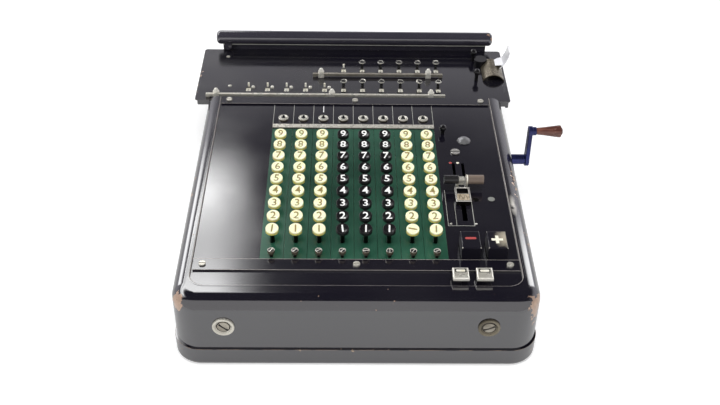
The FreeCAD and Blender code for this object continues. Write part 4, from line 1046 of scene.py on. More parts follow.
@dataclass
class Case:
    """Tray, housing, hood, feet and lock knobs.

    A bar of painted slot shade is given by its half length, half width, foot and top, the pale line of
    painted highlight at the hood bar's foot by its half width, place along Y and level, and the opening by
    its half width, front, corner radius and rear.
    """

    frame: dict
    lock_x: float = 109.0
    lock_level: float = 45.0
    front: float = -206.0
    lock_height: float = 1.8
    lock_radius: float = 9.2
    lock_turns: tuple[float, float] = (-42.0, 24.0)
    slot_bar: tuple[float, float, float, float] = (4.8, 0.85, 1.0, 1.62)
    seam: Triple = (145.0, 199.35, 75.15)
    opening: tuple[float, float, float, float] = (137.9, -186.0, 13.0, 96.5)
    lip_top: float = 73.04

    def build(self) -> None:
        """Finish the case."""
        dress(self.frame, "base_tray", Finishes.TRAY, 0.7, Finishes.TRAY_EDGE)
        dress(self.frame, "housing_shell", Finishes.CASE, 0.55, Finishes.CASE_EDGE)
        dress(self.frame, "rear_hood", Finishes.HOOD, 0.3, Finishes.HOOD_EDGE, sharp=50.0)
        dress(self.frame, "rubber_feet", Finishes.RUBBER, 0.5)
        self._locks()
        self._seam()
        self._lip()

    def _locks(self) -> None:
        """Lock knobs: a broad ring round a domed plug, with a raised black bar across it as the painted
        shade of a slot, and the right ring in a darker nickel as painted shade.
        """
        knobs = Piece("lock_knob_faces", "root")
        radius, high = self.lock_radius, self.lock_height
        half, wide, foot, top = self.slot_bar
        ring = rounded_profile([(radius, 0.0, 0), (radius, high, 0.8), (7.1, high, 0.6), (6.2, 0.5, 0.3),
                                (5.6, 0.4, 0)])
        plug = rounded_profile([(5.2, 0.3, 0), (4.9, 1.1, 0.5), (2.4, 1.5, 1.0), (0.0, 1.55, 0)])
        floor = np.array([(6.2, 0.45), (0.0, 0.45)])
        # painted shade: the right lock's ring takes a darker nickel than the left one's, though both are the
        # same part
        lit_and_shaded_rims = (Finishes.NICKEL, Finishes.DARK_NICKEL)
        for x, turn, rim in zip((-self.lock_x, self.lock_x), self.lock_turns, lit_and_shaded_rims):
            for profile, finish in ((ring, rim), (plug, Finishes.OLD_NICKEL), (floor, Finishes.BLACKED)):
                knobs.add(self._stood(revolve(profile, (0.0, 0.0, 0.0), Axis.Z, 48), x), finish)
            # painted shade: a raised black bar laid on the plug stands for the shade inside its slot
            points, faces = bar(-half, half, -wide, wide, foot, top)
            knobs.add(self._stood((turned(points, turn), faces), x), Finishes.BLACKED)
        knobs.done("lock_knobs", sharp=50.0)

    def _stood(self, grid: Grid, x: float) -> Grid:
        """Stand a flat surface on the front at a place along X: its height becomes the way out."""
        (across, along, height), faces = grid[0].T, grid[1]
        return np.column_stack([across + x, self.front - height, along + self.lock_level]), faces

    def _lip(self) -> None:
        """Lip round the opening: a shallow step whose inner edge is a bright line, partly worn metal and
        partly painted highlight.

        It is swept along a path that runs down the left side, round both front corners by quarter circles
        and up the right side.
        """
        half, front, radius, rear = self.opening
        arc = np.radians(np.linspace(180.0, 270.0, 13))
        left = np.column_stack([-half + radius + radius * np.cos(arc), front + radius + radius * np.sin(arc),
                                np.cos(arc), np.sin(arc)])
        right = (left * np.array([-1.0, 1.0, -1.0, 1.0]))[::-1]
        path = np.concatenate([[(-half, rear, -1.0, 0.0)], left, right, [(half, rear, 1.0, 0.0)]])
        lip = Piece("opening_lip", "root")
        top = self.lip_top
        # partly wear, partly painted highlight: the lip's inner edge takes the bright rim finish
        edge = np.array([(0.0, top - 2.04), (0.0, top - 0.29), (0.12, top - 0.07), (0.5, top)])
        flat = np.array([(0.5, top), (1.9, top), (2.2, top - 0.14)])
        for profile, finish in ((edge, Finishes.RIM_EDGE), (flat, Finishes.CASE)):
            out, level = profile.T[:, :, None]
            points = np.stack([path[:, 0] + out * path[:, 2], path[:, 1] + out * path[:, 3],
                               np.repeat(level, len(path), 1)], -1).reshape(-1, 3)
            lip.add((points, grid_quads(len(profile), len(path), False)), finish)
        lip.done()

    def _seam(self) -> None:
        """Painted highlight: a pale line along the foot of the hood's rolled bar, where its lower edge
        catches the light.
        """
        half, y, level = self.seam
        line = bar(-half, half, y - 0.35, y + 0.5, level - 0.35, level + 0.25)
        Piece("hood_foot_highlight", "root").add(line, Finishes.WHITE_LINE).done()


@dataclass
class KeyField:
    """Keyboard plate, coloured strips, digit keys, clearing keys and check windows.

    A figure's look is the outward offset of its outline and the factor on its width. The turned key is a
    column, a row and the angle of its figure. The tick is given by its half width, front and rear, a strip
    line by its front, rear and half length, and the rail's shadow by the arguments of bar.
    """

    frame: dict
    lettering: Lettering
    plate_top: float = 71.0
    first_x: float = -72.0
    pitch: float = 20.0
    columns: int = 8
    rows: int = 9
    first_y: float = -130.5
    row_pitch: float = 17.7
    key_top: float = 87.2
    key_radius: float = 5.6
    face_radius: float = 4.7
    cap_height: float = 4.4
    neck_height: float = 7.0
    stem_radius: float = 2.0
    clear_y: float = -149.8
    clear_top: float = 79.5
    clear_radius: float = 3.3
    clear_stem: float = 1.4
    clear_turns: tuple[float, ...] = (62.0, 50.0, 38.0, 55.0, 8.0, 90.0, 58.0, 30.0)
    tilt: float = 0.2
    strip_top: float = 72.6
    dark_columns: tuple[int, ...] = (4, 5, 6)
    field_rear: float = 41.0
    rail_rear: float = 47.0
    strip_rear: float = 84.0
    window_y: float = 58.5
    window_height: float = 2.79
    notch_length: float = 3.4
    figure_height: float = 7.6
    figure_lift: float = 0.03
    figure_sway: float = 4.0
    sway_seed: int = 40
    dark_look: tuple[float, float] = (0.012, 1.08)
    light_look: tuple[float, float] = (0.004, 1.0)
    turned_key: tuple[int, int, float] = (7, 1, 78.0)
    tick: Triple = (0.4, 71.0, 82.0)
    strip_lines: tuple[Triple, ...] = (
        (-153.95, -153.55, 138.5), (-167.45, -167.1, 138.5), (84.05, 84.35, 138.0))
    rail_shadow: tuple[float, ...] = (-82.0, 78.0, 39.8, 41.0, 71.95, 72.08)

    def build(self) -> None:
        """Finish the plate and its keys."""
        dress(self.frame, "keyboard_plate", Finishes.PLATE, 0.25, Finishes.PLATE_EDGE)
        rail = Part(Finishes.NICKEL, lambda x, y, z:
                    (y > self.field_rear - 0.1) & (y < self.rail_rear + 0.1))
        dress(self.frame, "cover_strips", Finishes.STRIP, 0.35, Finishes.STRIP_EDGE, [rail])
        dress(self.frame, "column_strips", Finishes.GREEN, 0.3, Finishes.GREEN_EDGE)
        self._windows()
        for column in range(1, self.columns + 1):
            self._column(column)
        self._clear_keys()
        self._lines()

    def _dish(self, distance: np.ndarray) -> np.ndarray:
        """Level of a keytop's face: a shallow bowl that rises with the square of the distance."""
        return self.key_top - 0.62 + 0.58 * np.clip(distance / self.face_radius, 0, 1) ** 2

    def _column(self, column: int) -> None:
        """The nine keys of one column with their figures.

        Args:
            column: Number of the column, from 1 on the left.
        """
        node = "keys_column_%d" % column
        x = self.first_x + (column - 1) * self.pitch
        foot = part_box(node)[0].z / MM
        dark = column in self.dark_columns
        # partly painted shade: cream keys take the darker lemon finish on their sides
        face, side = (Finishes.JET, Finishes.JET) if dark else (Finishes.CREAM, Finishes.LEMON)
        top, radius, hollow = self.key_top, self.key_radius, self.face_radius
        low, neck = top - self.cap_height, top - self.neck_height
        reach = np.linspace(hollow, 0.0, 7)
        bowl = np.column_stack([reach, self._dish(reach)])
        rim = rounded_profile([(radius, top - 1.5, 0), (radius, top, 0.7), (hollow, top - 0.04, 0)])
        wall = [(radius - 0.3, low), (radius, low + 0.5), (radius, top - 1.5)]
        under = rounded_profile([(self.stem_radius, neck, 0), (2.95, neck, 0.3),
                                 (radius - 1.6, low + 0.1, 0.9), (radius - 0.3, low, 0)])
        stem = [(0.0, foot), (self.stem_radius, foot), (self.stem_radius, neck)]
        cap = ((wall, side), (np.concatenate([rim, bowl[1:]]), face))
        ink = Finishes.WHITE_FIGURE if dark else Finishes.FADED_FIGURE
        bold, width = self.dark_look if dark else self.light_look
        keys = Piece("digit_keys_column_%d" % column, "column_%d_keys" % column)
        figures = Piece("figures_column_%d" % column, "column_%d_keys" % column)
        rng = np.random.default_rng(self.sway_seed + column)
        for row in range(self.rows):
            y = self.first_y + row * self.row_pitch
            place = (x, y, 0.0)
            keys.add(revolve(stem, place, Axis.Z, 16), Finishes.BLACKED)
            keys.add(revolve(under, place, Axis.Z, 32), Finishes.BLACKED)
            for profile, finish in cap:
                keys.add(self._tilted(revolve(profile, place, Axis.Z, 32), y), finish)
            turn = rng.normal(0.0, self.figure_sway)
            if (column, row + 1) == self.turned_key[:2]:
                turn = self.turned_key[2]
            grid = self.lettering.place(str(row + 1), self.figure_height, x, y,
                                        lambda r: self._dish(r) + self.figure_lift, turn, bold, width=width)
            figures.add(self._tilted(grid, y), ink)
        keys.done(node, sharp=50.0)
        figures.done()

    def _tilted(self, grid: Grid, y: float) -> Grid:
        """Lean a keytop toward the operator: each point rises by the tilt times its way to the rear.

        The share of the rise grows from zero at the cap's foot to one at its top.

        Args:
            grid: Points and faces.
            y: The key's centre along Y.

        Returns:
            The leaning points, and the faces.
        """
        points, faces = grid
        points = np.array(points, float)
        share = np.clip((points[:, 2] - self.key_top + self.cap_height) / self.cap_height, 0.0, 1.0)
        points[:, 2] += self.tilt * share * (points[:, 1] - y)
        return points, faces

    def _clear_keys(self) -> None:
        """Clearing keys: nickel heads on dark stems with a bar across the dish. The head's bright rim over
        dark nickel sides is painted highlight and shade, and its black dish a painted dark reflection.
        """
        keys = Piece("clear_keys_finished", "clear_keys")
        foot, top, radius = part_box("column_clear_keys")[0].z / MM, self.clear_top, self.clear_radius
        points, faces = bar(-2.5, 2.5, -0.36, 0.36, top - 0.8, top - 0.15)
        stem = [(0.0, foot), (self.clear_stem, foot), (self.clear_stem, top - 4.0)]
        head = rounded_profile([(self.clear_stem, top - 4.1, 0), (radius - 0.5, top - 4.1, 0.5),
                                (radius, top - 2.0, 0.8), (radius - 0.25, top - 0.2, 0.3), (2.75, top, 0.15),
                                (2.6, top - 0.7, 0.1), (2.4, top - 0.8, 0)])
        reflection_dish = np.array([(2.55, top - 0.76), (1.3, top - 0.62), (0.0, top - 0.55)])
        highlight_rim_points = 12
        # painted highlight and shade on one nickel head, and a painted dark reflection in the black dish
        surfaces = ((stem, Finishes.BLACKED), (head[:1 - highlight_rim_points], Finishes.DARK_NICKEL),
                    (head[-highlight_rim_points:], Finishes.BRIGHT), (reflection_dish, Finishes.JET))
        for column, turn in enumerate(self.clear_turns):
            place = np.array([self.first_x + column * self.pitch, self.clear_y, 0.0])
            for profile, finish in surfaces:
                keys.add(revolve(profile, place, Axis.Z, 28), finish)
            keys.add((turned(points, turn) + place, faces), Finishes.BRIGHT)
        keys.done("column_clear_keys", sharp=45.0)

    def _windows(self) -> None:
        """Check windows: a rim, a dark groove and an inner ring round a dark lens, with a dark wedge toward
        the rear as painted shade in the cup.
        """
        rings = Piece("check_window_rings", "root")
        top, length = self.plate_top, self.notch_length
        crown = top + self.window_height
        wall = rounded_profile([(3.0, top, 0), (5.0, top, 0.1), (5.0, top + 0.9, 0.3), (4.85, top + 1.4, 0)])
        rim = rounded_profile([(4.86, top + 1.35, 0), (4.8, top + 2.1, 0.3), (4.1, top + 2.3, 0.3),
                               (4.0, top + 1.6, 0)])
        groove = np.array([(4.02, top + 1.7), (3.9, top + 1.4), (3.6, top + 1.4), (3.55, top + 2.1)])
        ring = rounded_profile([(3.56, top + 2.0, 0), (3.45, crown, 0.3), (2.8, top + 2.6, 0.3),
                                (2.2, top + 1.5, 0)])
        lens = [(2.3, top + 1.55), (1.2, top + 1.7), (0.0, top + 1.75)]
        # painted shade: a dark wedge rising toward the rear stands for the shadow in the cup's rear part
        shade_wedge = np.array([(-0.5, 0.0), (0.5, 0.0), (1.1, length), (-1.1, length)])
        surfaces = ((wall, Finishes.DARK_NICKEL), (rim, Finishes.BRIGHT), (groove, Finishes.LENS),
                    (ring, Finishes.BRIGHT), (lens, Finishes.LENS))
        for column in range(self.columns):
            place = (self.first_x + column * self.pitch, self.window_y, 0.0)
            for profile, finish in surfaces:
                rings.add(revolve(profile, place, Axis.Z, 36), finish)
            points, faces = raised(shade_wedge + np.array(place[:2]), top + 1.0, crown, 0.05, 2)
            slope = np.clip((points[:, 1] - place[1]) / length, 0.0, 1.0)
            points[:, 2] = top + 1.76 + (points[:, 2] > top + 1.5) * 1.02 * slope
            rings.add((points, faces), Finishes.LENS)
        rings.done("check_windows", sharp=50.0)

    def _lines(self) -> None:
        """Painted dividing lines of the header panel, the tick above the third window, bright lines along
        the cover strips' edges that are partly wear and partly painted highlight, and a painted shadow strip
        in front of the rail.
        """
        lines = Piece("header_lines", "root")
        low, level = self.plate_top - 0.02, self.strip_top
        front, rear = self.rail_rear + 0.6, self.strip_rear - 0.6
        for column in range(self.columns + 1):
            x = self.first_x + (column - 0.5) * self.pitch
            lines.add(bar(x - 0.22, x + 0.22, front, rear, low, low + 0.08), Finishes.WHITE_LINE)
        x, (half, front, rear) = self.first_x + 2 * self.pitch, self.tick
        lines.add(bar(x - half, x + half, front, rear, low, low + 0.09), Finishes.WHITE_FIGURE)
        # partly wear, partly painted highlight: bright ribbons along the cover strips' edges
        for y0, y1, reach in self.strip_lines:
            lines.add(bar(-reach, reach, y0, y1, level - 0.05, level + 0.05), Finishes.RIM_EDGE)
        lines.add(bar(*self.rail_shadow), Finishes.BLACKED)
        lines.done()


@dataclass
class ControlPanel:
    """Sign keys, tab keys, levers, slide key, push knob and fittings on the right.

    The track is given by its left, right, front and rear sides, a spot by its place and reach, and a dot by
    its place, radius and finish.
    """

    frame: dict
    plate_top: float = 71.0
    plus_x: float = 119.0
    minus_x: float = 96.6
    sign_y: float = -141.7
    sign_top: float = 85.0
    dark_stem_x: float = 92.7
    tan_stem_x: float = 101.4
    lever_y: float = -53.0
    handle_level: float = 81.0
    slide_x: float = 97.0
    slide_top: float = 75.5
    face_y: float = -72.0
    track: tuple[float, float, float, float] = (81.5, 104.35, -106.5, -56.5)
    shaft_top: float = 76.0
    handle_foot: float = 75.0
    handle_start: float = 1.15
    cap_spot: Triple = (106.0, 22.0, 7.5)
    rivet_spot: Triple = (123.0, -70.0, 4.0)
    stud_spot: Triple = (96.0, 3.0, 5.0)
    hollow_spot: Triple = (96.0, 3.0, 1.7)
    socket_height: float = 0.6
    dots: tuple[tuple[float, float, float, Finishes], ...] = (
        (90.0, -14.0, 1.5, Finishes.RED_SIGN), (97.0, -14.0, 1.4, Finishes.CREAM_SIGN),
        (109.0, -70.0, 3.0, Finishes.BLACKED))

    def build(self) -> None:
        """Finish the panel's pieces."""
        sides = Part(Finishes.SIGN_SIDE, lambda x, y, z: z < self.sign_top - 0.1)
        dress(self.frame, "plus_key", Finishes.PLUS_KEY, 0.5, Finishes.SIGN_EDGE, [sides])
        dress(self.frame, "minus_key", Finishes.SIGN_KEY, 0.5, Finishes.SIGN_EDGE, [sides])
        shaft = Part(Finishes.BLACKED, lambda x, y, z: z < self.shaft_top)
        for name in ("left_tab_key", "right_tab_key"):
            dress(self.frame, name, Finishes.BRIGHT, 0.5, None, [shaft])
            self._tab_face(name)
        self._signs()
        self._levers()
        self._slide()
        dress(self.frame, "panel_knob", Finishes.KNOB, 0.0)
        cap = Part(Finishes.GREY_CAP, round_spot(*self.cap_spot))
        rivet = Part(Finishes.PALE_RIVET, round_spot(*self.rivet_spot))
        # painted highlight: the black stud's glints, as a polished nickel ring round its dark centre
        stud_glint = Part(Finishes.CHROME, round_spot(*self.stud_spot))
        hollow, foot = round_spot(*self.hollow_spot), self.plate_top + self.socket_height
        dark = Part(Finishes.KNOB, lambda x, y, z: hollow(x, y, z) | (z < foot))
        dress(self.frame, "panel_fittings", Finishes.NICKEL, 0.2, None, [cap, rivet, stud_glint, dark])
        self._dots()

    def _tab_face(self, node: str) -> None:
        """Nickel plate of a tab key, with a flat black field as painted recess shade and an ivory bar as
        painted highlight.

        Args:
            node: Name of the node and the key's body.
        """
        low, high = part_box(node)
        x, y, top = (low.x + high.x) / 2 / MM, (low.y + high.y) / 2 / MM, high.z / MM
        face = Piece(node + "_face", self.frame["nodes"][node]["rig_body"])
        plate = rounded_rectangle(x, y, 11.0, 11.0, 1.0)
        face.add(raised(plate, top - 0.3, top + 0.05, 0.04, 2), Finishes.NICKEL)
        # painted shade: a flat black field laid on the top where a recess would be dark
        recess_shade = rounded_rectangle(x, y + 2.6, 9.4, 4.4, 0.8)
        face.add(raised(recess_shade, top, top + 0.1, 0.04, 2), Finishes.BLACKED)
        # painted highlight: an ivory bar for the light along the key's top
        highlight_bar = rounded_rectangle(x, y + 2.2, 7.6, 2.4, 0.8)
        face.add(raised(highlight_bar, top, top + 0.6, 0.3, 3), Finishes.IVORY)
        face.done()

    def _signs(self) -> None:
        """The raised plus and minus."""
        arm, half = 4.9, 1.35
        cross = np.array([(half, -arm), (half, -half), (arm, -half), (arm, half), (half, half), (half, arm)])
        cross = np.concatenate([cross, -cross]) + np.array([self.plus_x, self.sign_y])
        dash = rounded_rectangle(self.minus_x, self.sign_y + 1.5, 9.6, 2.6, 1.2)
        low, high = self.sign_top - 0.3, self.sign_top + 0.3
        for body, outline, finish in (("plus", cross, Finishes.CREAM_SIGN),
                                      ("minus", dash, Finishes.RED_SIGN)):
            Piece(body + "_sign", body).add(raised(outline, low, high, 0.18, 2), finish).done()

    def _levers(self) -> None:
        """Levers with their handles, a nickel block on the dark one and a pale ring on the tan one."""
        level, y = self.handle_level, self.lever_y
        for name, stem_x, side, grip in (("dark_lever", self.dark_stem_x, -1, Finishes.BAKELITE),
                                         ("tan_lever", self.tan_stem_x, 1, Finishes.HORN)):
            handle = Part(grip, lambda x, y, z, s=side, c=stem_x:
                          (z > self.handle_foot) & (s * (x - c) > self.handle_start))
            dress(self.frame, name, Finishes.NICKEL, 0.6, None, [handle], rows=3)
        outline = rounded_rectangle(self.dark_stem_x + 3.2, y, 7.0, 5.6, 0.8)
        block = raised(outline, level - 4.0, level + 1.6, 0.6)
        Piece("dark_lever_block", "dark_lever").add(block, Finishes.NICKEL).done()
        profile = rounded_profile([(0.0, 0.0, 0), (4.45, 0.0, 0.5), (4.45, 1.4, 0.5), (4.0, 1.4, 0)])
        ring = revolve(profile, (self.tan_stem_x - 0.6, y, level), Axis.X, 36)
        Piece("tan_lever_ring", "tan_lever").add(ring, Finishes.IVORY).done()

    def _slide(self) -> None:
        """Slide key with a bone face, and the pale outline lines and screws of its track."""
        frame_top = Part(Finishes.CHROME, lambda x, y, z: z > self.slide_top - 0.1)
        dress(self.frame, "slide_key", Finishes.BLACKED, 0.4, Finishes.SLIDE_EDGE, [frame_top])
        face = Piece("slide_key_face", "slide_key")
        outline = rounded_rectangle(self.slide_x, self.face_y, 11.2, 9.0, 0.6)
        face.add(raised(outline, self.slide_top - 0.4, self.slide_top + 0.2, 0.15, 2), Finishes.BONE)
        for offset, slant in ((-3.4, 0.8), (-1.2, -0.9), (1.0, 0.8), (3.2, -0.8)):
            points, faces = bar(-0.22, 0.22, -3.0, 3.0, self.slide_top + 0.15, self.slide_top + 0.27)
            points[:, 0] += self.slide_x + offset + slant * points[:, 1] / 3.0
            points[:, 1] += self.face_y
            face.add((points, faces), Finishes.DARK_FIGURE)
        face.done()
        left, right, front, rear = self.track
        low, high = self.plate_top - 0.02, self.plate_top + 0.08
        lines = Piece("track_lines", "root")
        for x0, x1, y0, y1 in ((left - 0.5, left, front - 0.5, rear),
                               (right, right + 0.5, front - 0.5, rear),
                               (left - 0.5, right + 0.5, front - 0.9, front - 0.4),
                               (88.6, 89.0, front, rear - 19.0)):
            lines.add(bar(x0, x1, y0, y1, low, high), Finishes.WHITE_LINE)
        lines.done()
        top = self.plate_top
        dome = rounded_profile([(1.05, top - 0.1, 0), (1.05, top + 0.2, 0.3), (0.6, top + 0.45, 0.2),
                                (0.0, top + 0.45, 0)])
        places = [(x, front + 2.0) for x in (left + 2.2, right + 1.7)]
        studs("track_screws", "root", dome, places, Finishes.BRIGHT, 16)

    def _dots(self) -> None:
        """Small coloured studs on the panel."""
        dots = Piece("panel_dots", "root")
        top = self.plate_top
        for x, y, radius, finish in self.dots:
            dome = rounded_profile([(radius, top - 0.1, 0), (radius, top + 0.25, 0.2),
                                    (radius * 0.5, top + 0.4, 0.3), (0.0, top + 0.42, 0)])
            dots.add(revolve(dome, (x, y, 0.0), Axis.Z, 20), finish)
        dots.done()


@dataclass
class Crank:
    """Crank shaft, arm and turned grip."""

    frame: dict
    axis_y: float = 27.0
    grip_level: float = 80.0
    grip_start: float = 176.8
    grip_end: float = 200.8
    bore: float = 2.1

    def build(self) -> None:
        """Finish the crank and turn its grip."""
        dress(self.frame, "crank_shaft", Finishes.BLUED, 0.3)
        tip = Part(Finishes.WOOD, lambda x, y, z: x > self.grip_end - 0.2)
        dress(self.frame, "crank_arm", Finishes.BLUED, 0.5, None, [tip])
        length = self.grip_end - self.grip_start
        start = (self.grip_start, self.axis_y, self.grip_level)
        grip = Piece("turned_grip", "grip")
        outside = rounded_profile([(self.bore, 0.0, 0), (3.4, 0.0, 0.5), (3.9, 6.0, 4.0),
                                   (6.1, length - 2.0, 3.0), (6.0, length, 1.2),
                                   (self.bore, length - 0.1, 0)], 7)
        inside = [(self.bore, length - 0.3), (self.bore, 0.0)]
        for profile in (outside, inside):
            grip.add(revolve(profile, start, Axis.X, 48), Finishes.WOOD)
        grip.done("crank_grip", sharp=55.0)


@dataclass
class Carriage:
    """Register carriage: cover, dials, knobs, pointers and clearing lever.

    The lower row has more dials than knobs, and the upper row one more. A dial's ivory face, and its knob's
    bright ring that is a painted highlight on the black knob, are told from the rest by their levels. A
    station of the leaf is given by its place along X, level, front and rear.
    """

    frame: dict
    lettering: Lettering
    first_x: float = 88.0
    pitch: float = 20.0
    lower_y: float = 126.0
    upper_y: float = 165.0
    lower_count: int = 11
    lower_knobs: int = 6
    upper_knobs: int = 5
    lower_pointers: int = 3
    upper_pointers: int = 2
    dial_face: float = 65.8
    face_foot: float = 63.5
    cover_top: float = 67.0
    figure_radius: float = 6.1
    figure_height: float = 3.2
    figure_lift: float = 0.03
    stop_offset: tuple[float, float] = (4.9, -3.0)
    finger_offset: float = 3.15
    ring_foot: float = 73.5
    ring_bore: float = 1.5
    back_rail: float = 130.0
    hub_spot: Triple = (137.0, 172.0, 7.5)
    hub_top: float = 75.4
    wing_foot: float = 75.6
    screw_places: tuple[tuple[float, float], ...] = ((-139.0, 186.0), (-132.0, 126.0))
    leaf: tuple[tuple[float, float, float, float], ...] = (
        (151.5, 74.9, 158.5, 170.0), (155.0, 75.8, 157.5, 172.0), (158.8, 76.2, 157.0, 173.0),
        (161.8, 77.8, 158.0, 173.5), (164.0, 80.8, 160.0, 174.0), (165.6, 84.6, 162.5, 174.0),
        (166.6, 88.2, 166.0, 174.0), (167.0, 91.2, 170.0, 173.5))
    leaf_half_thickness: float = 0.45

    def build(self) -> None:
        """Finish the carriage."""
        dress(self.frame, "carriage_cover", Finishes.CARRIAGE, 0.35, Finishes.CARRIAGE_EDGE)
        dress(self.frame, "carriage_frame", Finishes.INSIDE, 0.3)
        upper = Part(Finishes.OLD_NICKEL, lambda x, y, z: y > self.back_rail)
        dress(self.frame, "pointer_rails", Finishes.NICKEL, 0.3, None, [upper])
        dress(self.frame, "carriage_knobs", Finishes.KNOB, 0.0)
        around = round_spot(*self.hub_spot)
        hub = Part(Finishes.KNOB, lambda x, y, z: (z < self.hub_top) & around(x, y, z))
        # painted reflection: the wing is near white for the glare on polished nickel
        glare_wing = Part(Finishes.WHITE_CHROME, lambda x, y, z: z > self.wing_foot)
        dress(self.frame, "clearing_lever", Finishes.DARK_NICKEL, 0.15, None, [glare_wing, hub], sharp=40.0)
        for row, count in (("lower", self.lower_pointers), ("upper", self.upper_pointers)):
            for number in range(1, count + 1):
                self._pointer("%s_pointer_%d" % (row, number))
        for row, y, knobs in (("lower", self.lower_y, self.lower_knobs),
                              ("upper", self.upper_y, self.upper_knobs)):
            for index in range(knobs):
                self._dial("%s_dial_%d" % (row, index + 1), self.first_x - index * self.pitch, y)
        self._bare_dials()
        self._screws()
        self._thumb_rest()

    def _thumb_rest(self) -> None:
        """Polished leaf of the clearing lever, near white as a painted reflection: it lies on the arch's
        shoulder and sweeps up past the wing.

        Each station gives four points: its front and rear, half the thickness below and above the sheet's
        middle, square to the way from the station before it to the one after. Both ends are closed.
        """
        x, level, front, rear = np.array(self.leaf).T
        run, rise = np.gradient(x), np.gradient(level)
        share = self.leaf_half_thickness / np.hypot(run, rise)
        ring = [np.column_stack([x - push * rise * share, y, level + push * run * share])
                for push, y in ((-1.0, front), (1.0, front), (1.0, rear), (-1.0, rear))]
        points = np.stack(ring, 1).reshape(-1, 3)
        faces = grid_quads(len(x), 4, True)
        last = 4 * (len(x) - 1)
        faces += [[3, 2, 1, 0], [last, last + 1, last + 2, last + 3]]
        leaf = Piece("clearing_lever_leaf", "clearing_lever").add((points, faces), Finishes.WHITE_CHROME)
        leaf.done(sharp=40.0, bevel=0.25)

    def _dial(self, name: str, x: float, y: float) -> None:
        """A register dial with its knob and figures.

        Args:
            name: Name of the node and the body.
            x: Axis along X.
            y: Axis along Y.
        """
        centre = round_spot(x, y, self.ring_bore)
        # painted highlight: the black knob's top ring in bright nickel, for the light on its rim
        ring = Part(Finishes.BRIGHT, lambda fx, fy, fz: (fz > self.ring_foot) & ~centre(fx, fy, fz))
        dress(self.frame, name, Finishes.KNOB, 0.2, None, [self._face(), ring])
        figures = Piece(name + "_figures", name)
        self._ring_of_figures(figures, x, y)
        figures.done()

    def _face(self) -> Part:
        """Ivory face and rim of a dial."""
        return Part(Finishes.IVORY, lambda x, y, z: (z < self.dial_face + 0.2) & (z > self.face_foot))

    def _ring_of_figures(self, piece: Piece, x: float, y: float) -> None:
        """Figures 0 to 9 round a dial, with 0 at the window.

        Args:
            piece: Piece that takes them.
            x: Axis along X.
            y: Axis along Y.
        """
        for digit in range(10):
            turn = 36.0 * digit
            angle = math.radians(turn - 90.0)
            spot = (x + self.figure_radius * math.cos(angle), y + self.figure_radius * math.sin(angle))
            grid = self.lettering.place(str(digit), self.figure_height, *spot,
                                        lambda r: np.full_like(r, self.dial_face + self.figure_lift),
                                        turn, 0.02, 0.05)
            piece.add(grid, Finishes.DARK_FIGURE)

    def _bare_dials(self) -> None:
        """Dials that have only a pin, and their figures."""
        pin = Part(Finishes.IVORY, lambda x, y, z: z > self.cover_top + 0.5)
        dress(self.frame, "bare_dials", Finishes.NICKEL, 0.0, None, [self._face(), pin])
        figures = Piece("bare_dial_figures", "carriage")
        for index in range(self.lower_knobs, self.lower_count):
            self._ring_of_figures(figures, self.first_x - index * self.pitch, self.lower_y)
        self._ring_of_figures(figures, self.first_x - self.upper_knobs * self.pitch, self.upper_y)
        figures.done()
        top = self.cover_top
        dome = rounded_profile([(1.9, top, 0), (1.9, top + 1.6, 0.9), (0.9, top + 2.3, 0.5),
                                (0.0, top + 2.4, 0)])
        aside, back = self.stop_offset
        places = [(self.first_x - index * self.pitch + aside, self.lower_y + back)
                  for index in range(self.lower_knobs, self.lower_count)]
        studs("bare_dial_stops", "carriage", dome, places, Finishes.BRIGHT)

    def _pointer(self, name: str) -> None:
        """A comma pointer with a tapered finger piece on its saddle.

        Args:
            name: Name of the node and the body.
        """
        dress(self.frame, name, Finishes.BRIGHT, 0.25)
        low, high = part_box(name)
        x, top = (low.x + high.x) / 2 / MM, high.z / MM
        y = low.y / MM + self.finger_offset
        profile = rounded_profile([(0.0, top - 0.4, 0), (3.1, top - 0.4, 0.4), (3.5, top + 1.0, 0.9),
                                   (2.4, top + 2.6, 0.9), (1.5, top + 4.4, 0.8), (0.0, top + 4.8, 0)])
        studs(name + "_finger", name, profile, [(x, y)], Finishes.BRIGHT, 24)

    def _screws(self) -> None:
        """Small screws of the cover."""
        top = self.cover_top
        dome = rounded_profile([(2.0, top - 0.2, 0), (2.0, top + 0.5, 0.3), (1.0, top + 0.75, 0.3),
                                (0.0, top + 0.8, 0)])
        studs("cover_screws", "carriage", dome, self.screw_places, Finishes.NICKEL)


@dataclass
class Works:
    """Frames, shafts and stepped drums inside the case."""

    frame: dict
    drums: int = 4
    shaft_y: float = 43.25
    shaft_level: float = 27.0
    shaft_reach: float = 4.3
    wheel_front: float = 27.0

    def build(self) -> None:
        """Finish the works."""
        dress(self.frame, "side_frames", Finishes.INSIDE, 0.4)
        dress(self.frame, "frame_bars", Finishes.STEEL, 0.3)
        dress(self.frame, "setting_shafts", Finishes.STEEL, 0.0)
        gears = Part(Finishes.BRASS, lambda x, y, z:
                     np.hypot(y - self.shaft_y, z - self.shaft_level) > self.shaft_reach)
        dress(self.frame, "main_shaft", Finishes.STEEL, 0.0, None, [gears])
        wheel = Part(Finishes.BRASS, lambda x, y, z: y > self.wheel_front)
        for number in range(1, self.drums + 1):
            dress(self.frame, "stepped_drum_%d" % number, Finishes.STEEL, 0.0, None, [wheel])


# ---------------------------------------------------------------- studio


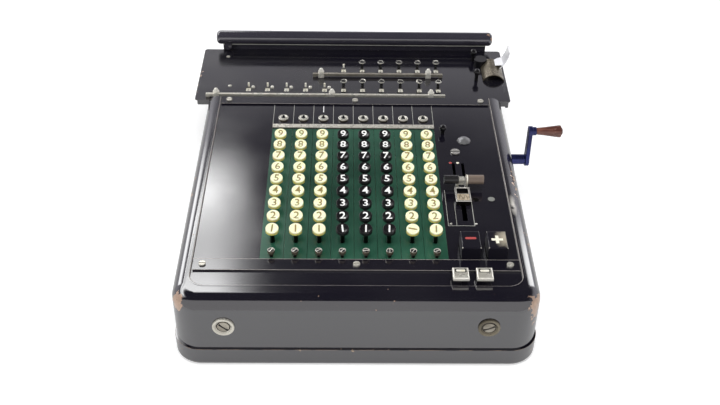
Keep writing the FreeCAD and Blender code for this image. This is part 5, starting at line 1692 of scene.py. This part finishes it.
@dataclass
class Studio:
    """Floor, white card, lights, sky and camera.

    Places are in metres and the camera's angles in degrees. The card is given by its half width, place
    along Y, foot and top. A lamp is given by its name, place, width, height and power. A rise is the share
    to the side at which a light starts, the one at which it is full, and its strength. A panel is given by
    the share to the rear past which it ends and the height at which it starts to fade. The stops of a ramp
    are pairs of the direction's height and the level there.
    """

    lens: float = 51.42
    sensor: float = 36.0
    camera_place: Triple = (-0.011135, -0.800791, 0.650786)
    pitch: float = 38.619
    yaw: float = 1.164
    roll: float = 1.063
    floor_size: float = 6.0
    floor_points: int = 13
    camera_glow: float = 0.42
    mirror_glow: float = 0.17
    card: tuple[float, float, float, float] = (0.7, -0.35, 0.0, 0.285)
    card_light: Colour = (1.0, 0.98, 0.98)
    card_glow: float = 0.97
    aim: Triple = (0.0, 0.0, 0.05)
    lamps: tuple[tuple[str, Triple, float, float, float], ...] = (
        ("overhead_box", (0.15, -0.35, 1.75), 1.5, 1.2, 17.0),
        ("front_left_box", (-1.3, -1.2, 1.0), 0.9, 0.9, 9.0))
    even_light: Colour = (0.60, 0.60, 0.605)
    window_rise: Triple = (0.111, 0.156, 9.0)
    pane_rise: Triple = (0.140, 0.165, 4.2)
    panel_rise: Triple = (0.25, 0.33, 5.0)
    left_panel: tuple[float, float] = (0.80, 0.40)
    right_panel: tuple[float, float] = (0.752, 0.55)
    ahead: Stops = ((0.0, 1.0), (0.30, 0.95), (0.48, 0.70), (0.515, 0.58), (0.540, 0.34), (0.572, 0.11),
                    (0.615, 0.08), (0.69, 0.03), (1.0, 0.035))
    behind: Stops = ((0.0, 0.07), (0.5, 0.05), (0.9, 0.03), (1.0, 0.035))
    window: Stops = ((0.0, 0.0), (0.572, 0.0), (0.580, 0.09), (0.590, 0.34), (0.603, 0.95), (0.614, 1.0),
                     (0.624, 0.62), (0.64, 0.40), (0.66, 0.28), (0.68, 0.20), (0.75, 0.18), (0.80, 0.0))

    def build(self) -> None:
        """Set the studio up."""
        self._floor()
        self._card()
        self._sky()
        for lamp in self.lamps:
            self._lamp(*lamp)
        self._camera()

    def _floor(self) -> None:
        """Pale floor that renders white to the camera and to polished pieces, and keeps the shadow."""
        half, count = self.floor_size / 2, self.floor_points
        side = np.linspace(-half, half, count)
        x, y = np.meshgrid(side, side)
        points = np.stack([x, y, np.zeros_like(x)], -1).reshape(-1, 3)
        sheet = NodeSheet("floor_paper")
        path = sheet.add("LightPath", {}).outputs
        seen = sheet.math("MULTIPLY", path["Is Camera Ray"], self.camera_glow)
        seen = sheet.math("ADD", seen, sheet.math("MULTIPLY", path["Is Glossy Ray"], self.mirror_glow))
        tone = sheet.mix(sheet.noise(3.0, 3.0), (0.80, 0.80, 0.80), (0.84, 0.84, 0.835))
        sheet.finish(tone, 0.9, specular=0.0)
        sheet.shine(WHITE, seen)
        self._staged("floor", points.tolist(), grid_quads(count, count, False), sheet)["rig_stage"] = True

    def _card(self) -> None:
        """White card that stands low before the front, which only polished pieces mirror."""
        half, y, low, high = self.card
        points = [(-half, y, low), (half, y, low), (half, y, high), (-half, y, high)]
        sheet = NodeSheet("white_card")
        sheet.finish((0.0, 0.0, 0.0), 1.0, specular=0.0)
        sheet.shine(self.card_light, self.card_glow)
        card = self._staged("white_card", points, [(0, 1, 2, 3)], sheet)
        for ray in ("camera", "diffuse", "shadow", "transmission", "volume_scatter"):
            setattr(card, "visible_" + ray, False)
        card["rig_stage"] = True

    @staticmethod
    def _staged(name: str, points: list, faces: list, sheet: NodeSheet) -> bpy.types.Object:
        """Make one of the studio's own objects.

        Args:
            name: Name of the object.
            points: Points in metres.
            faces: Lists of point numbers.
            sheet: Nodes of its material.

        Returns:
            The object.
        """
        mesh = bpy.data.meshes.new(name)
        mesh.from_pydata(points, [], faces)
        mesh.materials.append(sheet.material)
        return linked(name, mesh)

    def _sky(self) -> None:
        """White to the camera, a graded room to polished pieces, and even light to the rest.

        The room is a ramp on the height of the direction, one ahead of the camera and a dark one behind it.
        Added to it are a soft window to the left, as a ramp on the height times a band on the direction's
        share to the left, a fainter pane higher up beside it, and a tall panel to each side.
        """
        world = bpy.data.worlds.new("room")
        bpy.context.scene.world = world
        world.use_nodes = True
        sky = NodeTree(world.node_tree)
        path = sky.add("LightPath", {}).outputs
        way = sky.add("TexCoord", {}).outputs["Generated"]
        x, y, z = sky.add("SeparateXYZ", {0: way}).outputs
        room = sky.mix(sky.band(y, -0.30, 0.05), self._ramp(sky, z, self.behind),
                       self._ramp(sky, z, self.ahead))
        west = sky.math("MULTIPLY", x, -1.0)
        left = sky.math("DIVIDE", west, sky.math("MAXIMUM", y, 0.05))
        tall = self._ramp(sky, z, self.window)
        glow = sky.math("MULTIPLY", self._rise(sky, left, self.window_rise), tall)
        pane = sky.math("MULTIPLY", self._rise(sky, left, self.pane_rise), sky.band(z, 0.655, 0.675))
        pane = sky.math("MULTIPLY", pane, sky.band(z, 0.76, 0.72))
        glow = sky.math("MULTIPLY", sky.math("ADD", glow, pane), sky.band(y, -0.2, 0.1))
        glow = sky.math("ADD", glow, self._side_glow(sky, west, y, z, *self.left_panel))
        glow = sky.math("ADD", glow, self._side_glow(sky, x, y, z, *self.right_panel))
        lit = sky.add("VectorMath", {0: room, 1: glow}, operation="ADD").outputs[0]
        even = sky.mix(path["Is Glossy Ray"], self.even_light, lit)
        shown = sky.mix(path["Is Camera Ray"], even, WHITE)
        sky.put(sky.tree.nodes["Background"].inputs["Color"], shown)

    @staticmethod
    def _rise(sky: NodeTree, share: Socket, rise: Triple) -> Socket:
        """Ramp from darkness, at a rise's first share, to its strength at the second."""
        return sky.band(share, rise[0], rise[1], 0.0, rise[2])

    def _side_glow(self, sky: NodeTree, aside: Socket, y: Socket, z: Socket, limit: float,
                   roof: float) -> Socket:
        """Tall bright panel to one side, a product of ramps.

        Args:
            sky: The tree.
            aside: The direction's share to that side.
            y: The direction's share to the rear.
            z: The direction's height.
            limit: Share to the rear past which the panel ends.
            roof: Height at which the panel starts to fade.

        Returns:
            The panel's light.
        """
        glow = sky.math("MULTIPLY", self._rise(sky, aside, self.panel_rise), sky.band(z, 0.14, 0.23))
        glow = sky.math("MULTIPLY", glow, sky.band(y, limit + 0.01, limit - 0.01))
        glow = sky.math("MULTIPLY", glow, sky.band(z, roof + 0.1, roof))
        return sky.math("MULTIPLY", glow, sky.band(y, 0.665, 0.70))

    @staticmethod
    def _ramp(sky: NodeTree, value: Socket, stops: Stops) -> Socket:
        """Grey ramp with a cool tint.

        Args:
            sky: The tree.
            value: Number from 0 to 1.
            stops: (place, level) pairs.

        Returns:
            The colour's socket.
        """
        node = sky.add("ValToRGB", {0: value})
        for number, (spot, level) in enumerate(stops):
            ends = node.color_ramp.elements
            stop = ends[number] if number < 2 else ends.new(spot)
            stop.position = spot
            stop.color = (*(level * share for share in COOL), 1.0)
        return node.outputs[0]

    def _lamp(self, name: str, place: Triple, width: float, height: float, power: float) -> None:
        """A soft box that faces the aim and that polished pieces don't mirror.

        Args:
            name: Name of the lamp.
            place: Where it stands, in metres.
            width: Width in metres.
            height: Height in metres.
            power: Power in watts.
        """
        light = bpy.data.lights.new(name, "AREA")
        light.shape = "RECTANGLE"
        light.size = width
        light.size_y = height
        light.energy = power
        lamp = linked(name, light)
        way = Vector(self.aim) - Vector(place)
        lamp.matrix_world = Matrix.Translation(place) @ way.to_track_quat("-Z", "Y").to_matrix().to_4x4()
        lamp.visible_glossy = False

    def _camera(self) -> None:
        """Camera that looks down on the machine from the front."""
        data = bpy.data.cameras.new("camera")
        data.sensor_width = self.sensor
        data.lens = self.lens
        data.clip_start = 0.01
        pitch, yaw, roll = (math.radians(angle) for angle in (self.pitch, self.yaw, self.roll))
        ahead = Vector((math.sin(yaw) * math.cos(pitch), math.cos(yaw) * math.cos(pitch), -math.sin(pitch)))
        right = Vector((math.cos(yaw), -math.sin(yaw), 0.0))
        up = right.cross(ahead)
        aside = right * math.cos(roll) + up * math.sin(roll)
        upright = up * math.cos(roll) - right * math.sin(roll)
        matrix = Matrix((aside, upright, -ahead)).transposed().to_4x4()
        matrix.translation = self.camera_place
        camera = linked("camera", data)
        camera.matrix_world = matrix
        bpy.context.scene.camera = camera


def corners() -> list[list[float]]:
    """Lowest and highest corner of what shows, as plain lists."""
    return [list(corner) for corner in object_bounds()]


def main() -> None:
    """Build every sub-assembly and the studio."""
    logging.basicConfig(level=logging.INFO, format="%(name)s: %(message)s")
    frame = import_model()
    lettering = Lettering()
    for assembly in (Case(frame), KeyField(frame, lettering), ControlPanel(frame), Crank(frame),
                     Carriage(frame, lettering), Works(frame), Studio()):
        assembly.build()
        LOG.info("%s is built", type(assembly).__name__)
    bpy.context.scene.view_settings.view_transform = "Standard"


if __name__ == "__main__":
    main()
